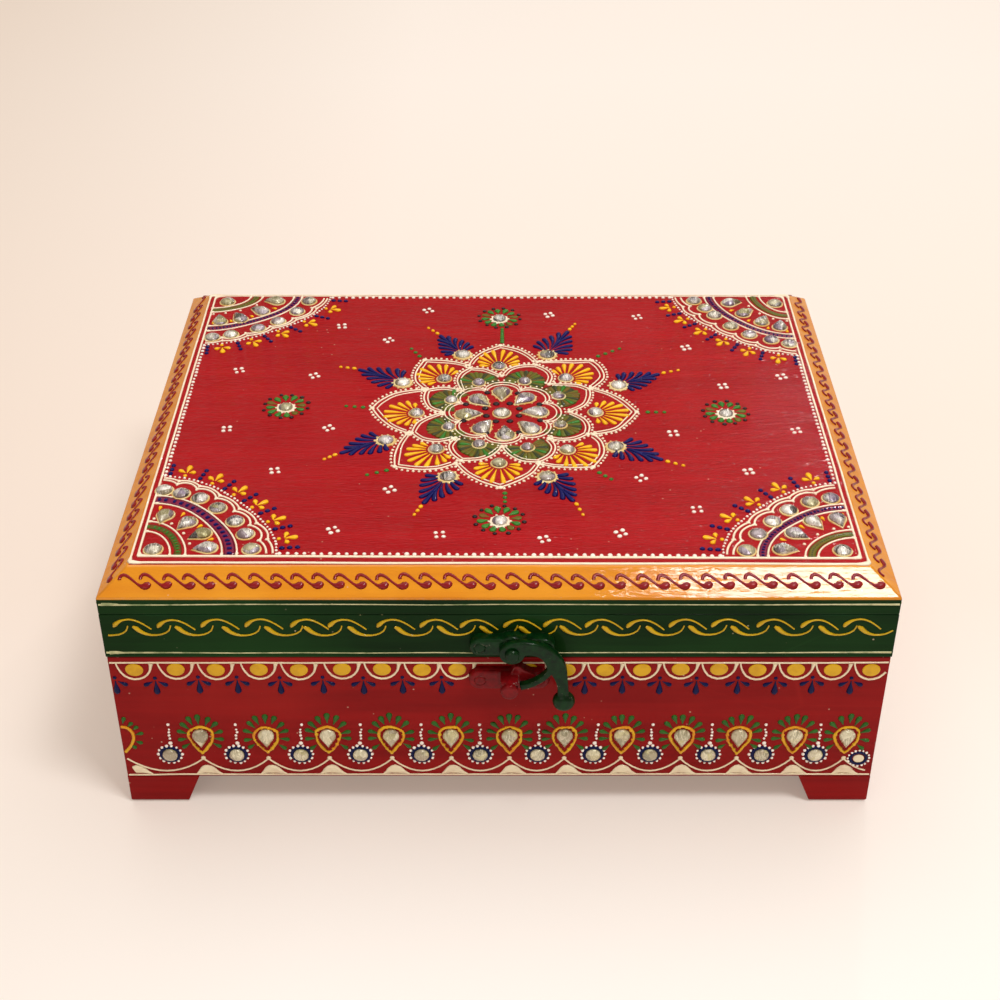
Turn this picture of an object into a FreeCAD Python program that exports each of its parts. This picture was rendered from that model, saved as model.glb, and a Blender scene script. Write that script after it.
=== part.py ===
import FreeCAD, Part
import math
import os
from FreeCAD import Rotation, Vector

# A painted wooden tabletop chest with a bevelled lid, block feet, glass stones,
# a swing-hook latch in front and two brass butt hinges behind. Millimetres, +Z up,
# the front looks along -Y, and the origin is on the floor under the middle.

# Lid and body
lid_width = 254.0
lid_depth = 202.0
lid_overhang = 0.3
lid_gap = 0.3
wall_thickness = 10.0
body_height = 52.7
rail_height = 17.5
top_edge_thickness = 6.5
bevel_width = 9.0
bevel_rise = 6.2
bottom_thickness = 4.0

# Feet
foot_height = 12.0
foot_length = 24.5
foot_taper = 5.0
foot_corner_radius = 1.5

# Steel pins, driven in and filled over
pin_radius = 0.7
pin_length = 24.0
pin_set = 0.8
pin_clearance = 0.02
corner_pin_share = (0.25, 0.55, 0.85)
lid_corner_pin_share = (0.25, 0.75)
long_pin_share = (-0.6, 0.0, 0.6)
lid_long_pin_share = (-0.6, 0.2, 0.6)
short_pin_share = (-0.5, 0.5)

# Foot screws
foot_screw_radius = 1.5
foot_screw_length = 22.0
foot_screw_head_radius = 2.9
foot_screw_head_height = 1.8
foot_screw_recess = 0.8
foot_screw_slot = 0.7
foot_screw_outset_share = 0.68

# Hinges
lid_open_angle = 100.0
stop_clearance_angle = 2.5
hinge_place_share = 0.62
hinge_length = 25.0
hinge_setback = 2.4
leaf_thickness = 1.0
leaf_edge_margin = 0.5
knuckle_count = 5
knuckle_gap = 0.3
barrel_radius = 1.7
hinge_pin_radius = 0.8
hinge_pin_clearance = 0.05
hinge_pin_head_radius = 1.25
hinge_pin_head_height = 0.5
hinge_pocket_clearance = 0.35
hinge_screw_radius = 0.8
hinge_screw_length = 8.0
hinge_screw_head_radius = 1.5
hinge_screw_head_height = 0.7
hinge_screw_slot = 0.4
hinge_screw_share = 0.62

# Latch, upper half
latch_x = 4.2
latch_pivot_height = 6.5
latch_plate_length = 27.2
latch_plate_width = 6.6
latch_plate_rise = 0.5
latch_plate_thickness = 4.0
latch_plate_round = 0.9
latch_lobe_radius = 4.8
latch_running_gap = 0.3
rivet_radius = 1.5
rivet_clearance = 0.05
rivet_head_radius = 2.3
rivet_head_height = 1.2
rivet_tail_radius = 2.1
rivet_tail_height = 0.8

# Latch nails
latch_nail_radius = 0.85
latch_nail_length = 7.0
latch_nail_head_radius = 2.0
latch_nail_head_height = 1.1
latch_nail_dome = 0.2

# Latch hook
hook_drop = 20.2
hook_thickness = 2.4
hook_ring_radius = 4.1
hook_edge = 0.5
tongue_radius_share = 0.703
tongue_width = 2.0
tongue_tip_angle = 11.0
tongue_root_angle = 56.0
hook_ball_radius = 3.65
hook_ball_half_depth = 2.5
hook_ball_flat_share = 0.33
hook_ball_place_share = (0.834, -1.0)
hook_ring_start_angle = 196.5
hook_ring_end_angle = 82.0
hook_outline_shares = {
    "shoulder": (0.681, 0.023), "arm_side": (0.881, -0.46), "handle_outer": (0.916, -0.9),
    "handle_inner": (0.725, -0.9), "handle_bend": (0.712, -0.63), "crook_bend": (0.467, -0.107),
}
hook_swing_in = 20.0

# Keeper, the lower half of the latch
keeper_offset = 0.8
keeper_length = 26.4
keeper_width = 7.4
keeper_thickness = 2.9
keeper_round = 0.8
keeper_slot_clearance = 0.35
keeper_knob_radius = 2.9
keeper_knob_drop = 0.5
keeper_knob_round = 0.7
keeper_cap_thickness = 1.2
keeper_slot_end_angle = 2.2
keeper_jaw_height = 2.4
keeper_jaw_slope = 1.4
keeper_fin_gap = 0.9
keeper_fin_shares = (
    (0.07, 0.0), (0.07, 0.55), (0.23, 0.88), (0.42, 0.91), (0.64, 0.68), (1.15, 0.39), (1.16, 0.0),
)

# Glass stones
stone_girdle = 0.8
stone_height = 1.8
stone_table_share = 0.6
stone_edge_margin = 3.0

# Medallion on the lid: places are shares of the medallion's radius, from its middle
medallion_x = 1.0
medallion_y = -0.2
medallion_radius = 64.0
medallion_middle_stone = 3.0
medallion_drop_length = 9.4
medallion_drop_width = 6.4
medallion_ring_shares = (
    (0.0, 0.208), (0.125, 0.148), (0.188, 0.008), (0.148, -0.156),
    (0.019, -0.211), (-0.102, -0.148), (-0.188, -0.016), (-0.122, 0.133),
)
inner_petal_stone = 2.2
inner_petal_shares = (
    (0.133, 0.352), (0.328, 0.188), (0.328, -0.125), (0.141, -0.359),
    (-0.125, -0.328), (-0.297, -0.148), (-0.289, 0.141), (-0.133, 0.336),
)
outer_petal_stone = 2.5
outer_petal_shares = (
    (-0.016, 0.531), (0.375, 0.391), (0.531, 0.008), (0.359, -0.383),
    (-0.016, -0.516), (-0.359, -0.375), (-0.484, 0.0), (-0.336, 0.383),
)
spray_stone = 2.75
spray_shares = (
    (0.273, 0.664), (0.68, 0.305), (0.625, -0.352), (0.242, -0.648),
    (-0.289, -0.648), (-0.641, -0.289), (-0.578, 0.336), (-0.234, 0.664),
)

# Rosettes round the medallion
rosette_stone = 2.5
rosette_shares = ((-0.013, 1.114), (1.269, -0.008), (-0.011, -1.058), (-1.23, 0.059))

# Corner fans: places are shares of the fan's radius, from the corner of the painted border
border_inset_x = 12.0
border_inset_y = 14.0
fan_radius = 46.0
fan_middle_stone = 2.8
fan_drop_length = 7.8
fan_drop_width = 5.4
fan_outer_stone = 2.75
fan_middle_shares = ((0.087, 0.074), (0.104, 0.06), (0.109, 0.033), (0.076, 0.065))
fan_drop_shares = (
    ((0.098, 0.47), (0.267, 0.383), (0.385, 0.248), (0.446, 0.087)),
    ((0.07, 0.426), (0.246, 0.393), (0.391, 0.252), (0.5, 0.07)),
    ((0.087, 0.37), (0.25, 0.33), (0.413, 0.202), (0.522, 0.022)),
    ((0.087, 0.467), (0.224, 0.385), (0.359, 0.239), (0.457, 0.054)),
)
fan_outer_shares = (
    (
        (0.043, 0.807), (0.174, 0.763), (0.32, 0.702), (0.467, 0.578),
        (0.613, 0.415), (0.707, 0.257), (0.772, 0.078),
    ),
    ((0.08, 0.702), (0.239, 0.654), (0.407, 0.55), (0.543, 0.409), (0.667, 0.257), (0.772, 0.061)),
    ((0.065, 0.674), (0.217, 0.624), (0.435, 0.517), (0.593, 0.391), (0.739, 0.211), (0.826, 0.022)),
    (
        (0.05, 0.783), (0.196, 0.717), (0.37, 0.626), (0.511, 0.478),
        (0.63, 0.283), (0.7, 0.152), (0.783, 0.015),
    ),
)

# Stones on the walls: front places are shares of half the wall's width
wall_drop_length = 7.8
wall_drop_width = 5.4
wall_drop_height = 17.7
wall_round_stone = 2.5
wall_round_height = 10.2
wall_stone_pitch = 19.6
front_drop_shares = (
    -0.789, -0.615, -0.452, -0.285, -0.127, 0.028, 0.174, 0.325, 0.484, 0.634, 0.781, 0.92,
)
front_round_shares = (
    -0.876, -0.698, -0.527, -0.369, -0.206, -0.05, 0.103, 0.251, 0.402, 0.557, 0.699, 0.842,
)

# One overrun serves all cuts
overrun = 2.0

# Sizes and heights that follow from these
body_width = lid_width - 2 * lid_overhang
body_depth = lid_depth - 2 * lid_overhang
body_top = foot_height + body_height
lid_bottom = body_top + lid_gap
rail_top = lid_bottom + rail_height
bevel_bottom = rail_top + top_edge_thickness
lid_top = bevel_bottom + bevel_rise
hinge_y = body_depth / 2 - hinge_setback
hinge_z = body_top + lid_gap / 2
latch_z = lid_bottom + latch_pivot_height
tongue_radius = tongue_radius_share * hook_drop
keeper_x = latch_x - keeper_offset
keeper_z = latch_z - tongue_radius
hook_back = latch_plate_thickness + latch_running_gap
hook_front = hook_back + hook_thickness
rivet_head_start = hook_front + latch_running_gap
stone_box_depth = body_depth / 2 + stone_height
rivet_front = rivet_head_start + rivet_head_height
keeper_front = hook_front + keeper_slot_clearance + keeper_cap_thickness
latch_reach = lid_depth / 2 + max(rivet_front, keeper_front)
depth_shift = (latch_reach - stone_box_depth) / 2

os.makedirs("parts", exist_ok=True)


def save(name, solids):
    """Write one piece, or one group of pieces, moved so that the origin is under the middle."""
    shape = solids if isinstance(solids, Part.Shape) else Part.makeCompound(solids)
    shape = shape.copy()
    shape.translate(Vector(0, depth_shift, 0))
    shape.exportStep("parts/" + name + ".step")


def block(low, high):
    """A box between two corners."""
    size = Vector(*high) - Vector(*low)
    return Part.makeBox(size.x, size.y, size.z, Vector(*low))


def line(start, end):
    """A straight edge between two points."""
    return Part.makeLine(Vector(*start), Vector(*end))


def arc(start, middle, end):
    """A round edge through three points."""
    return Part.Arc(Vector(*start), Vector(*middle), Vector(*end)).toShape()


def prism(edges, direction):
    """The solid that a closed outline sweeps along a direction."""
    return Part.Face(Part.Wire(edges)).extrude(direction)


def turned(profile, base, axis):
    """The solid that a closed profile sweeps in one turn about an axis."""
    return Part.Face(Part.makePolygon(profile + profile[:1])).revolve(base, axis, 360)


def face_placement(side, out):
    """Where a face of the chest lies: local x runs along it, y up it and z out of it."""
    axes = {
        "top": (Vector(1, 0, 0), Vector(0, 1, 0), Vector(0, 0, 1)),
        "front": (Vector(1, 0, 0), Vector(0, 0, 1), Vector(0, -1, 0)),
        "right": (Vector(0, 1, 0), Vector(0, 0, 1), Vector(1, 0, 0)),
        "back": (Vector(-1, 0, 0), Vector(0, 0, 1), Vector(0, 1, 0)),
        "left": (Vector(0, -1, 0), Vector(0, 0, 1), Vector(-1, 0, 0)),
    }
    along, up, outwards = axes[side]
    return FreeCAD.Placement(outwards * out, Rotation(along, up, outwards, "XYZ"))


def placed(shape, placement):
    """A copy of a shape, put where a placement says."""
    moved = shape.copy()
    moved.Placement = placement.multiply(moved.Placement)
    return moved


# Steel pins and their holes

def pin_solid(start, direction, radius=pin_radius, length=pin_length):
    """One headless pin that starts just under the surface."""
    direction = Vector(*direction)
    return Part.makeCylinder(radius, length, Vector(*start) + direction * pin_set, direction)


def pin_hole(start, direction):
    """The hole for one pin."""
    return pin_solid(start, direction, pin_radius + pin_clearance)


def body_corner_pin_places():
    """Three pins at each corner of the body, from the front and the back wall."""
    places = []
    for side in (-1, 1):
        for end in (-1, 1):
            for share in corner_pin_share:
                x = end * (body_width - wall_thickness) / 2
                z = foot_height + share * body_height
                places.append(((x, side * body_depth / 2, z), (0, -side, 0)))
    return places


def bottom_pin_places():
    """Pins through the walls into the edges of the bottom board."""
    z = foot_height + bottom_thickness / 2
    places = []
    for side in (-1, 1):
        for share in long_pin_share:
            places.append(((share * body_width / 2, side * body_depth / 2, z), (0, -side, 0)))
        for share in short_pin_share:
            places.append(((side * body_width / 2, share * body_depth / 2, z), (-side, 0, 0)))
    return places


def lid_corner_pin_places():
    """Two pins at each corner of the lid's frame."""
    places = []
    for side in (-1, 1):
        for end in (-1, 1):
            for share in lid_corner_pin_share:
                x = end * (lid_width - wall_thickness) / 2
                z = lid_bottom + share * rail_height
                places.append(((x, side * lid_depth / 2, z), (0, -side, 0)))
    return places


def lid_top_pin_places():
    """Pins down through the bevel into the rails."""
    inset = wall_thickness / 2
    z = bevel_bottom + bevel_rise * inset / bevel_width
    places = []
    for side in (-1, 1):
        for share in lid_long_pin_share:
            places.append(((share * lid_width / 2, side * (lid_depth / 2 - inset), z), (0, 0, -1)))
        for share in short_pin_share:
            places.append(((side * (lid_width / 2 - inset), share * lid_depth / 2, z), (0, 0, -1)))
    return places


def pins(places, length=pin_length):
    """All the pins of a list of places."""
    return [pin_solid(start, direction, pin_radius, length) for start, direction in places]


def drilled(panel, places):
    """A panel with the holes of a list of pins."""
    return panel.cut([pin_hole(start, direction) for start, direction in places])


# Hinges

def hinge_middles():
    """The x places of the two hinges."""
    return (-hinge_place_share * lid_width / 2, hinge_place_share * lid_width / 2)


def hinge_axis_point(x):
    """A point on the hinge axis."""
    return Vector(x, hinge_y, hinge_z)


def knuckle_span(index):
    """Where one knuckle starts and ends, from the left end of the barrel."""
    step = hinge_length / knuckle_count
    start = index * step + (knuckle_gap / 2 if index else 0.0)
    end = (index + 1) * step - (knuckle_gap / 2 if index < knuckle_count - 1 else 0.0)
    return start, end


def hinge_leaf(middle, lower):
    """One leaf: three knuckles on the body's wall, or two on the lid's rail."""
    left = middle - hinge_length / 2
    direction = -1 if lower else 1
    inner = lid_gap / 2
    outer = inner + leaf_thickness
    low, high = sorted((hinge_z + direction * inner, hinge_z + direction * outer))
    edge_y = lid_depth / 2 - wall_thickness + leaf_edge_margin
    plate = block((left, edge_y, low), (left + hinge_length, hinge_y, high))
    leaf_pieces = []
    for index in range(knuckle_count):
        start, end = knuckle_span(index)
        own = (index % 2 == 0) == lower
        if own:
            base = hinge_axis_point(left + start)
            leaf_pieces.append(Part.makeCylinder(barrel_radius, end - start, base, Vector(1, 0, 0)))
        else:
            step = hinge_length / knuckle_count
            first = left + index * step - knuckle_gap / 2
            last = left + (index + 1) * step + knuckle_gap / 2
            clear = barrel_radius + hinge_pocket_clearance
            notch_low = (first, hinge_y - clear, low - overrun)
            plate = plate.cut(block(notch_low, (last, hinge_y + clear, high + overrun)))
    leaf = plate.fuse(leaf_pieces).removeSplitter()
    bore_radius = hinge_pin_radius + hinge_pin_clearance
    bore_base = hinge_axis_point(left - overrun)
    bore = Part.makeCylinder(bore_radius, hinge_length + 2 * overrun, bore_base, Vector(1, 0, 0))
    leaf = leaf.cut(bore)
    return leaf.cut([hinge_screw_cutter(x, lower) for x in hinge_screw_places(middle)])


def hinge_screw_places(middle):
    """The x places of one leaf's two screws."""
    reach = hinge_screw_share * hinge_length / 2
    return (middle - reach, middle + reach)


def hinge_screw_y():
    """The middle of the leaf's flat part."""
    front = lid_depth / 2 - wall_thickness + leaf_edge_margin
    back = hinge_y - barrel_radius - hinge_pocket_clearance
    return (front + back) / 2


def hinge_screw_profile(extra):
    """Half of a countersunk screw's section, from its head's middle down."""
    head = hinge_screw_head_radius + extra
    shank = hinge_screw_radius + extra
    return [
        Vector(0, 0, 0), Vector(head, 0, 0), Vector(shank, 0, -hinge_screw_head_height),
        Vector(shank, 0, -hinge_screw_length), Vector(0, 0, -hinge_screw_length),
    ]


def hinge_screw_shape(x, lower, extra, slotted):
    """One hinge screw, or the space that it fills."""
    screw = turned(hinge_screw_profile(extra), Vector(0, 0, 0), Vector(0, 0, 1))
    if slotted:
        half = hinge_screw_slot / 2
        depth = hinge_screw_head_height / 2
        screw = screw.cut(block((-half, -overrun, -depth), (half, overrun, overrun)))
    if not lower:
        screw.rotate(Vector(0, 0, 0), Vector(1, 0, 0), 180)
    z = body_top if lower else lid_bottom
    screw.translate(Vector(x, hinge_screw_y(), z))
    return screw


def hinge_screw_cutter(x, lower):
    """The hole for one hinge screw."""
    return hinge_screw_shape(x, lower, pin_clearance, False)


def hinge_pin(middle):
    """A hinge pin with a small head at each end."""
    left = middle - hinge_length / 2
    start = hinge_axis_point(left)
    pin = Part.makeCylinder(hinge_pin_radius, hinge_length, start, Vector(1, 0, 0))
    left_head = hinge_axis_point(left - hinge_pin_head_height)
    right_head = hinge_axis_point(left + hinge_length)
    heads = [
        Part.makeCylinder(hinge_pin_head_radius, hinge_pin_head_height, base, Vector(1, 0, 0))
        for base in (left_head, right_head)
    ]
    return pin.fuse(heads).removeSplitter()


def hinge_cutters(lower):
    """The recesses for both leaves and barrels, and the screw holes, in a wall or a rail."""
    cutters = []
    edge_y = lid_depth / 2 - wall_thickness + leaf_edge_margin
    end_room = hinge_pin_head_height + hinge_pocket_clearance
    for middle in hinge_middles():
        left = middle - hinge_length / 2
        if lower:
            low, high = body_top - leaf_thickness, body_top + overrun
        else:
            low, high = lid_bottom - overrun, lid_bottom + leaf_thickness
        cutters.append(block((left, edge_y, low), (left + hinge_length, hinge_y, high)))
        radius = barrel_radius + hinge_pocket_clearance
        base = hinge_axis_point(left - end_room)
        length = hinge_length + 2 * end_room
        cutters.append(Part.makeCylinder(radius, length, base, Vector(1, 0, 0)))
        cutters += [hinge_screw_cutter(x, lower) for x in hinge_screw_places(middle)]
    return cutters


def stop_cutter(lower):
    """The wedge that is cut from the back edge, so that the open lid comes to rest."""
    angle = math.radians(lid_open_angle / 2 + stop_clearance_angle)
    reach = hinge_setback + lid_overhang + overrun
    drop = reach * math.tan(angle)
    direction = -1 if lower else 1
    half = lid_width / 2 + overrun
    tip = (-half, hinge_y, hinge_z)
    level = (-half, hinge_y + reach, hinge_z)
    slope = (-half, hinge_y + reach, hinge_z + direction * drop)
    edges = [line(tip, level), line(level, slope), line(slope, tip)]
    return prism(edges, Vector(2 * half, 0, 0))


# Body of the chest

def wall(side):
    """The front wall for -1 or the back wall for 1, as long as the body."""
    outer = side * body_depth / 2
    inner = side * (body_depth / 2 - wall_thickness)
    low, high = sorted((outer, inner))
    panel = block((-body_width / 2, low, foot_height), (body_width / 2, high, body_top))
    panel = drilled(panel, [p for p in body_corner_pin_places() if p[0][1] == outer])
    return drilled(panel, [p for p in bottom_pin_places() if p[0][1] == outer])


def side_wall(side):
    """The left wall for -1 or the right wall for 1, between the front and back walls."""
    outer = side * body_width / 2
    low, high = sorted((outer, outer - side * wall_thickness))
    reach = body_depth / 2 - wall_thickness
    panel = block((low, -reach, foot_height), (high, reach, body_top))
    panel = drilled(panel, [p for p in body_corner_pin_places() if p[0][0] * side > 0])
    return drilled(panel, [p for p in bottom_pin_places() if p[0][0] == outer])


def bottom_panel():
    """The thin board between the walls, flush with their lower edges."""
    x = body_width / 2 - wall_thickness
    y = body_depth / 2 - wall_thickness
    board = block((-x, -y, foot_height), (x, y, foot_height + bottom_thickness))
    return drilled(board, bottom_pin_places())


def foot_profile(flat):
    """The outline of a foot seen from one side: a square outer corner and a sloped inner end."""
    corner = foot_corner_radius
    nick = corner * (1 - math.sqrt(0.5))
    points = [
        (0, foot_height), (foot_length, foot_height), (foot_length - foot_taper, 0),
        (corner, 0), (nick, nick), (0, corner),
    ]
    a, b, c, d, e, f = [flat(*point) for point in points]
    return [line(a, b), line(b, c), line(c, d), arc(d, e, f), line(f, a)]


def foot(x_side, y_side):
    """One foot, sloped on both inner sides, with holes for its two screws."""
    across = prism(foot_profile(lambda a, z: (a, 0, z)), Vector(0, foot_length, 0))
    along = prism(foot_profile(lambda a, z: (0, a, z)), Vector(foot_length, 0, 0))
    block_foot = across.common(along)
    cutters = [foot_screw_shape(place, pin_clearance, False) for place in foot_screw_corner_places()]
    block_foot = block_foot.cut(cutters)
    return mirrored_corner(block_foot, x_side, y_side)


def mirrored_corner(shape, x_side, y_side):
    """A shape made at a corner at zero, turned outwards to one corner of the body."""
    result = shape.copy()
    if x_side > 0:
        result = result.mirror(Vector(0, 0, 0), Vector(1, 0, 0))
    if y_side > 0:
        result = result.mirror(Vector(0, 0, 0), Vector(0, 1, 0))
    result.translate(Vector(x_side * body_width / 2, y_side * body_depth / 2, 0))
    return result


def foot_screw_corner_places():
    """Two screws of a foot, one under each wall, from the outer corner."""
    far = foot_screw_outset_share * foot_length
    near = wall_thickness / 2
    return ((far, near), (near, far))


def foot_screw_shape(place, extra, slotted):
    """A countersunk screw that goes up through the foot into the wall, or its hole."""
    head = foot_screw_head_radius + extra
    shank = foot_screw_radius + extra
    top = foot_screw_recess + foot_screw_head_height
    mouth = [Vector(0, 0, foot_screw_recess)] if slotted else [Vector(0, 0, 0), Vector(head, 0, 0)]
    shaft = [
        Vector(head, 0, foot_screw_recess), Vector(shank, 0, top),
        Vector(shank, 0, foot_screw_length), Vector(0, 0, foot_screw_length),
    ]
    screw = turned(mouth + shaft, Vector(0, 0, 0), Vector(0, 0, 1))
    if slotted:
        half = foot_screw_slot / 2
        reach = 2 * foot_screw_head_radius
        depth = foot_screw_recess + foot_screw_head_height / 2
        screw = screw.cut(block((-half, -reach, 0), (half, reach, depth)))
    screw.translate(Vector(place[0], place[1], 0))
    return screw


def corners():
    """The four corners of the chest."""
    return [(x_side, y_side) for y_side in (-1, 1) for x_side in (-1, 1)]


def foot_screws():
    """All the foot screws."""
    return [
        mirrored_corner(foot_screw_shape(place, 0.0, True), x_side, y_side)
        for x_side, y_side in corners() for place in foot_screw_corner_places()
    ]


def foot_screw_holes():
    """The holes of all the foot screws, for the walls."""
    return [
        mirrored_corner(foot_screw_shape(place, pin_clearance, False), x_side, y_side)
        for x_side, y_side in corners() for place in foot_screw_corner_places()
    ]


# Lid

def lid_top_panel():
    """The solid top with its four bevels."""
    x, y = lid_width / 2, lid_depth / 2
    lower = block((-x, -y, rail_top), (x, y, bevel_bottom))
    outlines = []
    for inset, z in ((0.0, bevel_bottom), (bevel_width, lid_top)):
        points = [
            Vector(a * (x - inset), b * (y - inset), z)
            for a, b in ((-1, -1), (1, -1), (1, 1), (-1, 1), (-1, -1))
        ]
        outlines.append(Part.makePolygon(points))
    upper = Part.makeLoft(outlines, True, True)
    panel = lower.fuse(upper).removeSplitter()
    return drilled(panel, lid_top_pin_places())


def rail(side):
    """The lid's front rail for -1 or back rail for 1, as long as the lid."""
    outer = side * lid_depth / 2
    low, high = sorted((outer, outer - side * wall_thickness))
    strip = block((-lid_width / 2, low, lid_bottom), (lid_width / 2, high, rail_top))
    strip = drilled(strip, [p for p in lid_corner_pin_places() if p[0][1] == outer])
    return drilled(strip, lid_top_pin_places())


def side_rail(side):
    """The lid's left rail for -1 or right rail for 1, between the front and back rails."""
    outer = side * lid_width / 2
    low, high = sorted((outer, outer - side * wall_thickness))
    reach = lid_depth / 2 - wall_thickness
    strip = block((low, -reach, lid_bottom), (high, reach, rail_top))
    strip = drilled(strip, [p for p in lid_corner_pin_places() if p[0][0] * side > 0])
    return drilled(strip, lid_top_pin_places())


# Latch: local x runs along the front, y up it and z out of the lid's front face

def stadium(length, width, middle, low, high):
    """A flat bar with round ends."""
    radius = width / 2
    reach = length / 2 - radius
    x, y = middle
    a = (x - reach, y - radius, low)
    b = (x + reach, y - radius, low)
    c = (x + reach + radius, y, low)
    d = (x + reach, y + radius, low)
    e = (x - reach, y + radius, low)
    f = (x - reach - radius, y, low)
    edges = [line(a, b), arc(b, c, d), line(d, e), arc(e, f, a)]
    return prism(edges, Vector(0, 0, high - low))


def disc(radius, middle, low, high):
    """A round disc."""
    return Part.makeCylinder(radius, high - low, Vector(middle[0], middle[1], low))


def edges_at_height(shape, z):
    """The edges of a shape that lie wholly at one height."""
    tolerance = 1e-6 * lid_width
    chosen = []
    for edge in shape.Edges:
        box = edge.BoundBox
        if abs(box.ZMin - z) < tolerance and abs(box.ZMax - z) < tolerance:
            chosen.append(edge)
    return chosen


def latch_nail_reach(length, width):
    """How far the nails of a plate stand from its middle: at the centre of its round ends."""
    return length / 2 - width / 2


def latch_nail(extra, domed):
    """One nail with a countersunk head, or the space that it fills, open above its head."""
    head = latch_nail_head_radius + extra
    shank = latch_nail_radius + extra
    bottom = -latch_nail_head_height - latch_nail_length
    if domed:
        crown = [Vector(0, 0, latch_nail_dome), Vector(head / 2, 0, latch_nail_dome)]
    else:
        crown = [Vector(0, 0, overrun), Vector(head, 0, overrun)]
    shaft = [
        Vector(head, 0, 0), Vector(shank, 0, -latch_nail_head_height),
        Vector(shank, 0, bottom), Vector(0, 0, bottom),
    ]
    return turned(crown + shaft, Vector(0, 0, 0), Vector(0, 0, 1))


def latch_nails(middle, length, width, face, extra, domed):
    """The two nails of a plate, or their holes."""
    nails = []
    for side in (-1, 1):
        nail = latch_nail(extra, domed)
        x = middle[0] + side * latch_nail_reach(length, width)
        nail.translate(Vector(x, middle[1], face))
        nails.append(nail)
    return nails


def latch_middle():
    """The middle of the upper plate."""
    return (latch_x, latch_z + latch_plate_rise)


def rivet(extra, head_room):
    """The pivot rivet with its domed head and peened tail, or the hole for it."""
    shank = rivet_radius + extra
    tail = rivet_tail_radius + extra
    start = rivet_head_start
    profile = [Vector(0, 0, 0), Vector(tail, 0, 0), Vector(shank, 0, rivet_tail_height)]
    if head_room:
        profile += [Vector(shank, 0, start + overrun), Vector(0, 0, start + overrun)]
    else:
        edge = rivet_head_height / 2
        profile += [
            Vector(shank, 0, start), Vector(rivet_head_radius, 0, start),
            Vector(rivet_head_radius, 0, start + edge),
            Vector(rivet_head_radius - edge, 0, start + rivet_head_height),
            Vector(0, 0, start + rivet_head_height),
        ]
    solid = turned(profile, Vector(0, 0, 0), Vector(0, 0, 1))
    solid.translate(Vector(latch_x, latch_z, 0))
    return solid


def latch_plate():
    """The cast upper plate: a bar with round ends and a round lobe behind the hook's ring."""
    top = latch_plate_thickness
    bar = stadium(latch_plate_length, latch_plate_width, latch_middle(), 0, top)
    lobe = disc(latch_lobe_radius, (latch_x, latch_z), 0, top)
    plate = bar.fuse(lobe).removeSplitter()
    plate = plate.makeFillet(latch_plate_round, edges_at_height(plate, top))
    nails = latch_nails(latch_middle(), latch_plate_length, latch_plate_width, top, pin_clearance, False)
    return plate.cut(nails).cut(rivet(pin_clearance, True))


def hook_point(share):
    """A point of the hook's outline, from shares of the drop from its pivot to its ball."""
    return (latch_x + share[0] * hook_drop, latch_z + share[1] * hook_drop, hook_back)


def around_pivot(radius, angle, height):
    """A point round the pivot, its angle measured from straight down towards +X."""
    turn = math.radians(angle)
    return (latch_x + radius * math.sin(turn), latch_z - radius * math.cos(turn), height)


def pivot_sector(inner, outer, first, last, low, high):
    """A curved bar round the pivot."""
    middle = (first + last) / 2
    a, b, c = [around_pivot(outer, angle, low) for angle in (first, middle, last)]
    d, e, f = [around_pivot(inner, angle, low) for angle in (last, middle, first)]
    edges = [arc(a, b, c), line(c, d), arc(d, e, f), line(f, a)]
    return prism(edges, Vector(0, 0, high - low))


def hook_ball():
    """The round end of the handle: a flattened ball with a small flat in front and behind."""
    flat = hook_ball_flat_share * hook_ball_radius
    deep = hook_ball_half_depth
    edges = [
        line((0, 0, -deep), (flat, 0, -deep)),
        arc((flat, 0, -deep), (hook_ball_radius, 0, 0), (flat, 0, deep)),
        line((flat, 0, deep), (0, 0, deep)),
        line((0, 0, deep), (0, 0, -deep)),
    ]
    ball = Part.Face(Part.Wire(edges)).revolve(Vector(0, 0, 0), Vector(0, 0, 1), 360)
    x, y, _ = hook_point(hook_ball_place_share)
    ball.translate(Vector(x, y, (hook_back + hook_front) / 2))
    return ball


def hook_outline():
    """The outline of ring, arm, handle and tongue, in one closed run of lines and arcs."""
    at = {name: hook_point(share) for name, share in hook_outline_shares.items()}
    half = tongue_width / 2
    inner, outer = tongue_radius - half, tongue_radius + half
    tip, root = tongue_tip_angle, tongue_root_angle
    middle = (tip + root) / 2
    ring_start = around_pivot(hook_ring_radius, hook_ring_start_angle, hook_back)
    ring_end = around_pivot(hook_ring_radius, hook_ring_end_angle, hook_back)
    ring_turn = (hook_ring_start_angle - 360 + hook_ring_end_angle) / 2
    ring_far = around_pivot(hook_ring_radius, ring_turn, hook_back)
    outer_root, outer_middle, outer_tip = [
        around_pivot(outer, angle, hook_back) for angle in (root, middle, tip)
    ]
    inner_tip, inner_middle, inner_root = [
        around_pivot(inner, angle, hook_back) for angle in (tip, middle, root)
    ]
    return [
        arc(ring_start, at["shoulder"], at["arm_side"]),
        line(at["arm_side"], at["handle_outer"]),
        line(at["handle_outer"], at["handle_inner"]),
        arc(at["handle_inner"], at["handle_bend"], outer_root),
        arc(outer_root, outer_middle, outer_tip),
        line(outer_tip, inner_tip),
        arc(inner_tip, inner_middle, inner_root),
        arc(inner_root, at["crook_bend"], ring_end),
        arc(ring_end, ring_far, ring_start),
    ]


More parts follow.
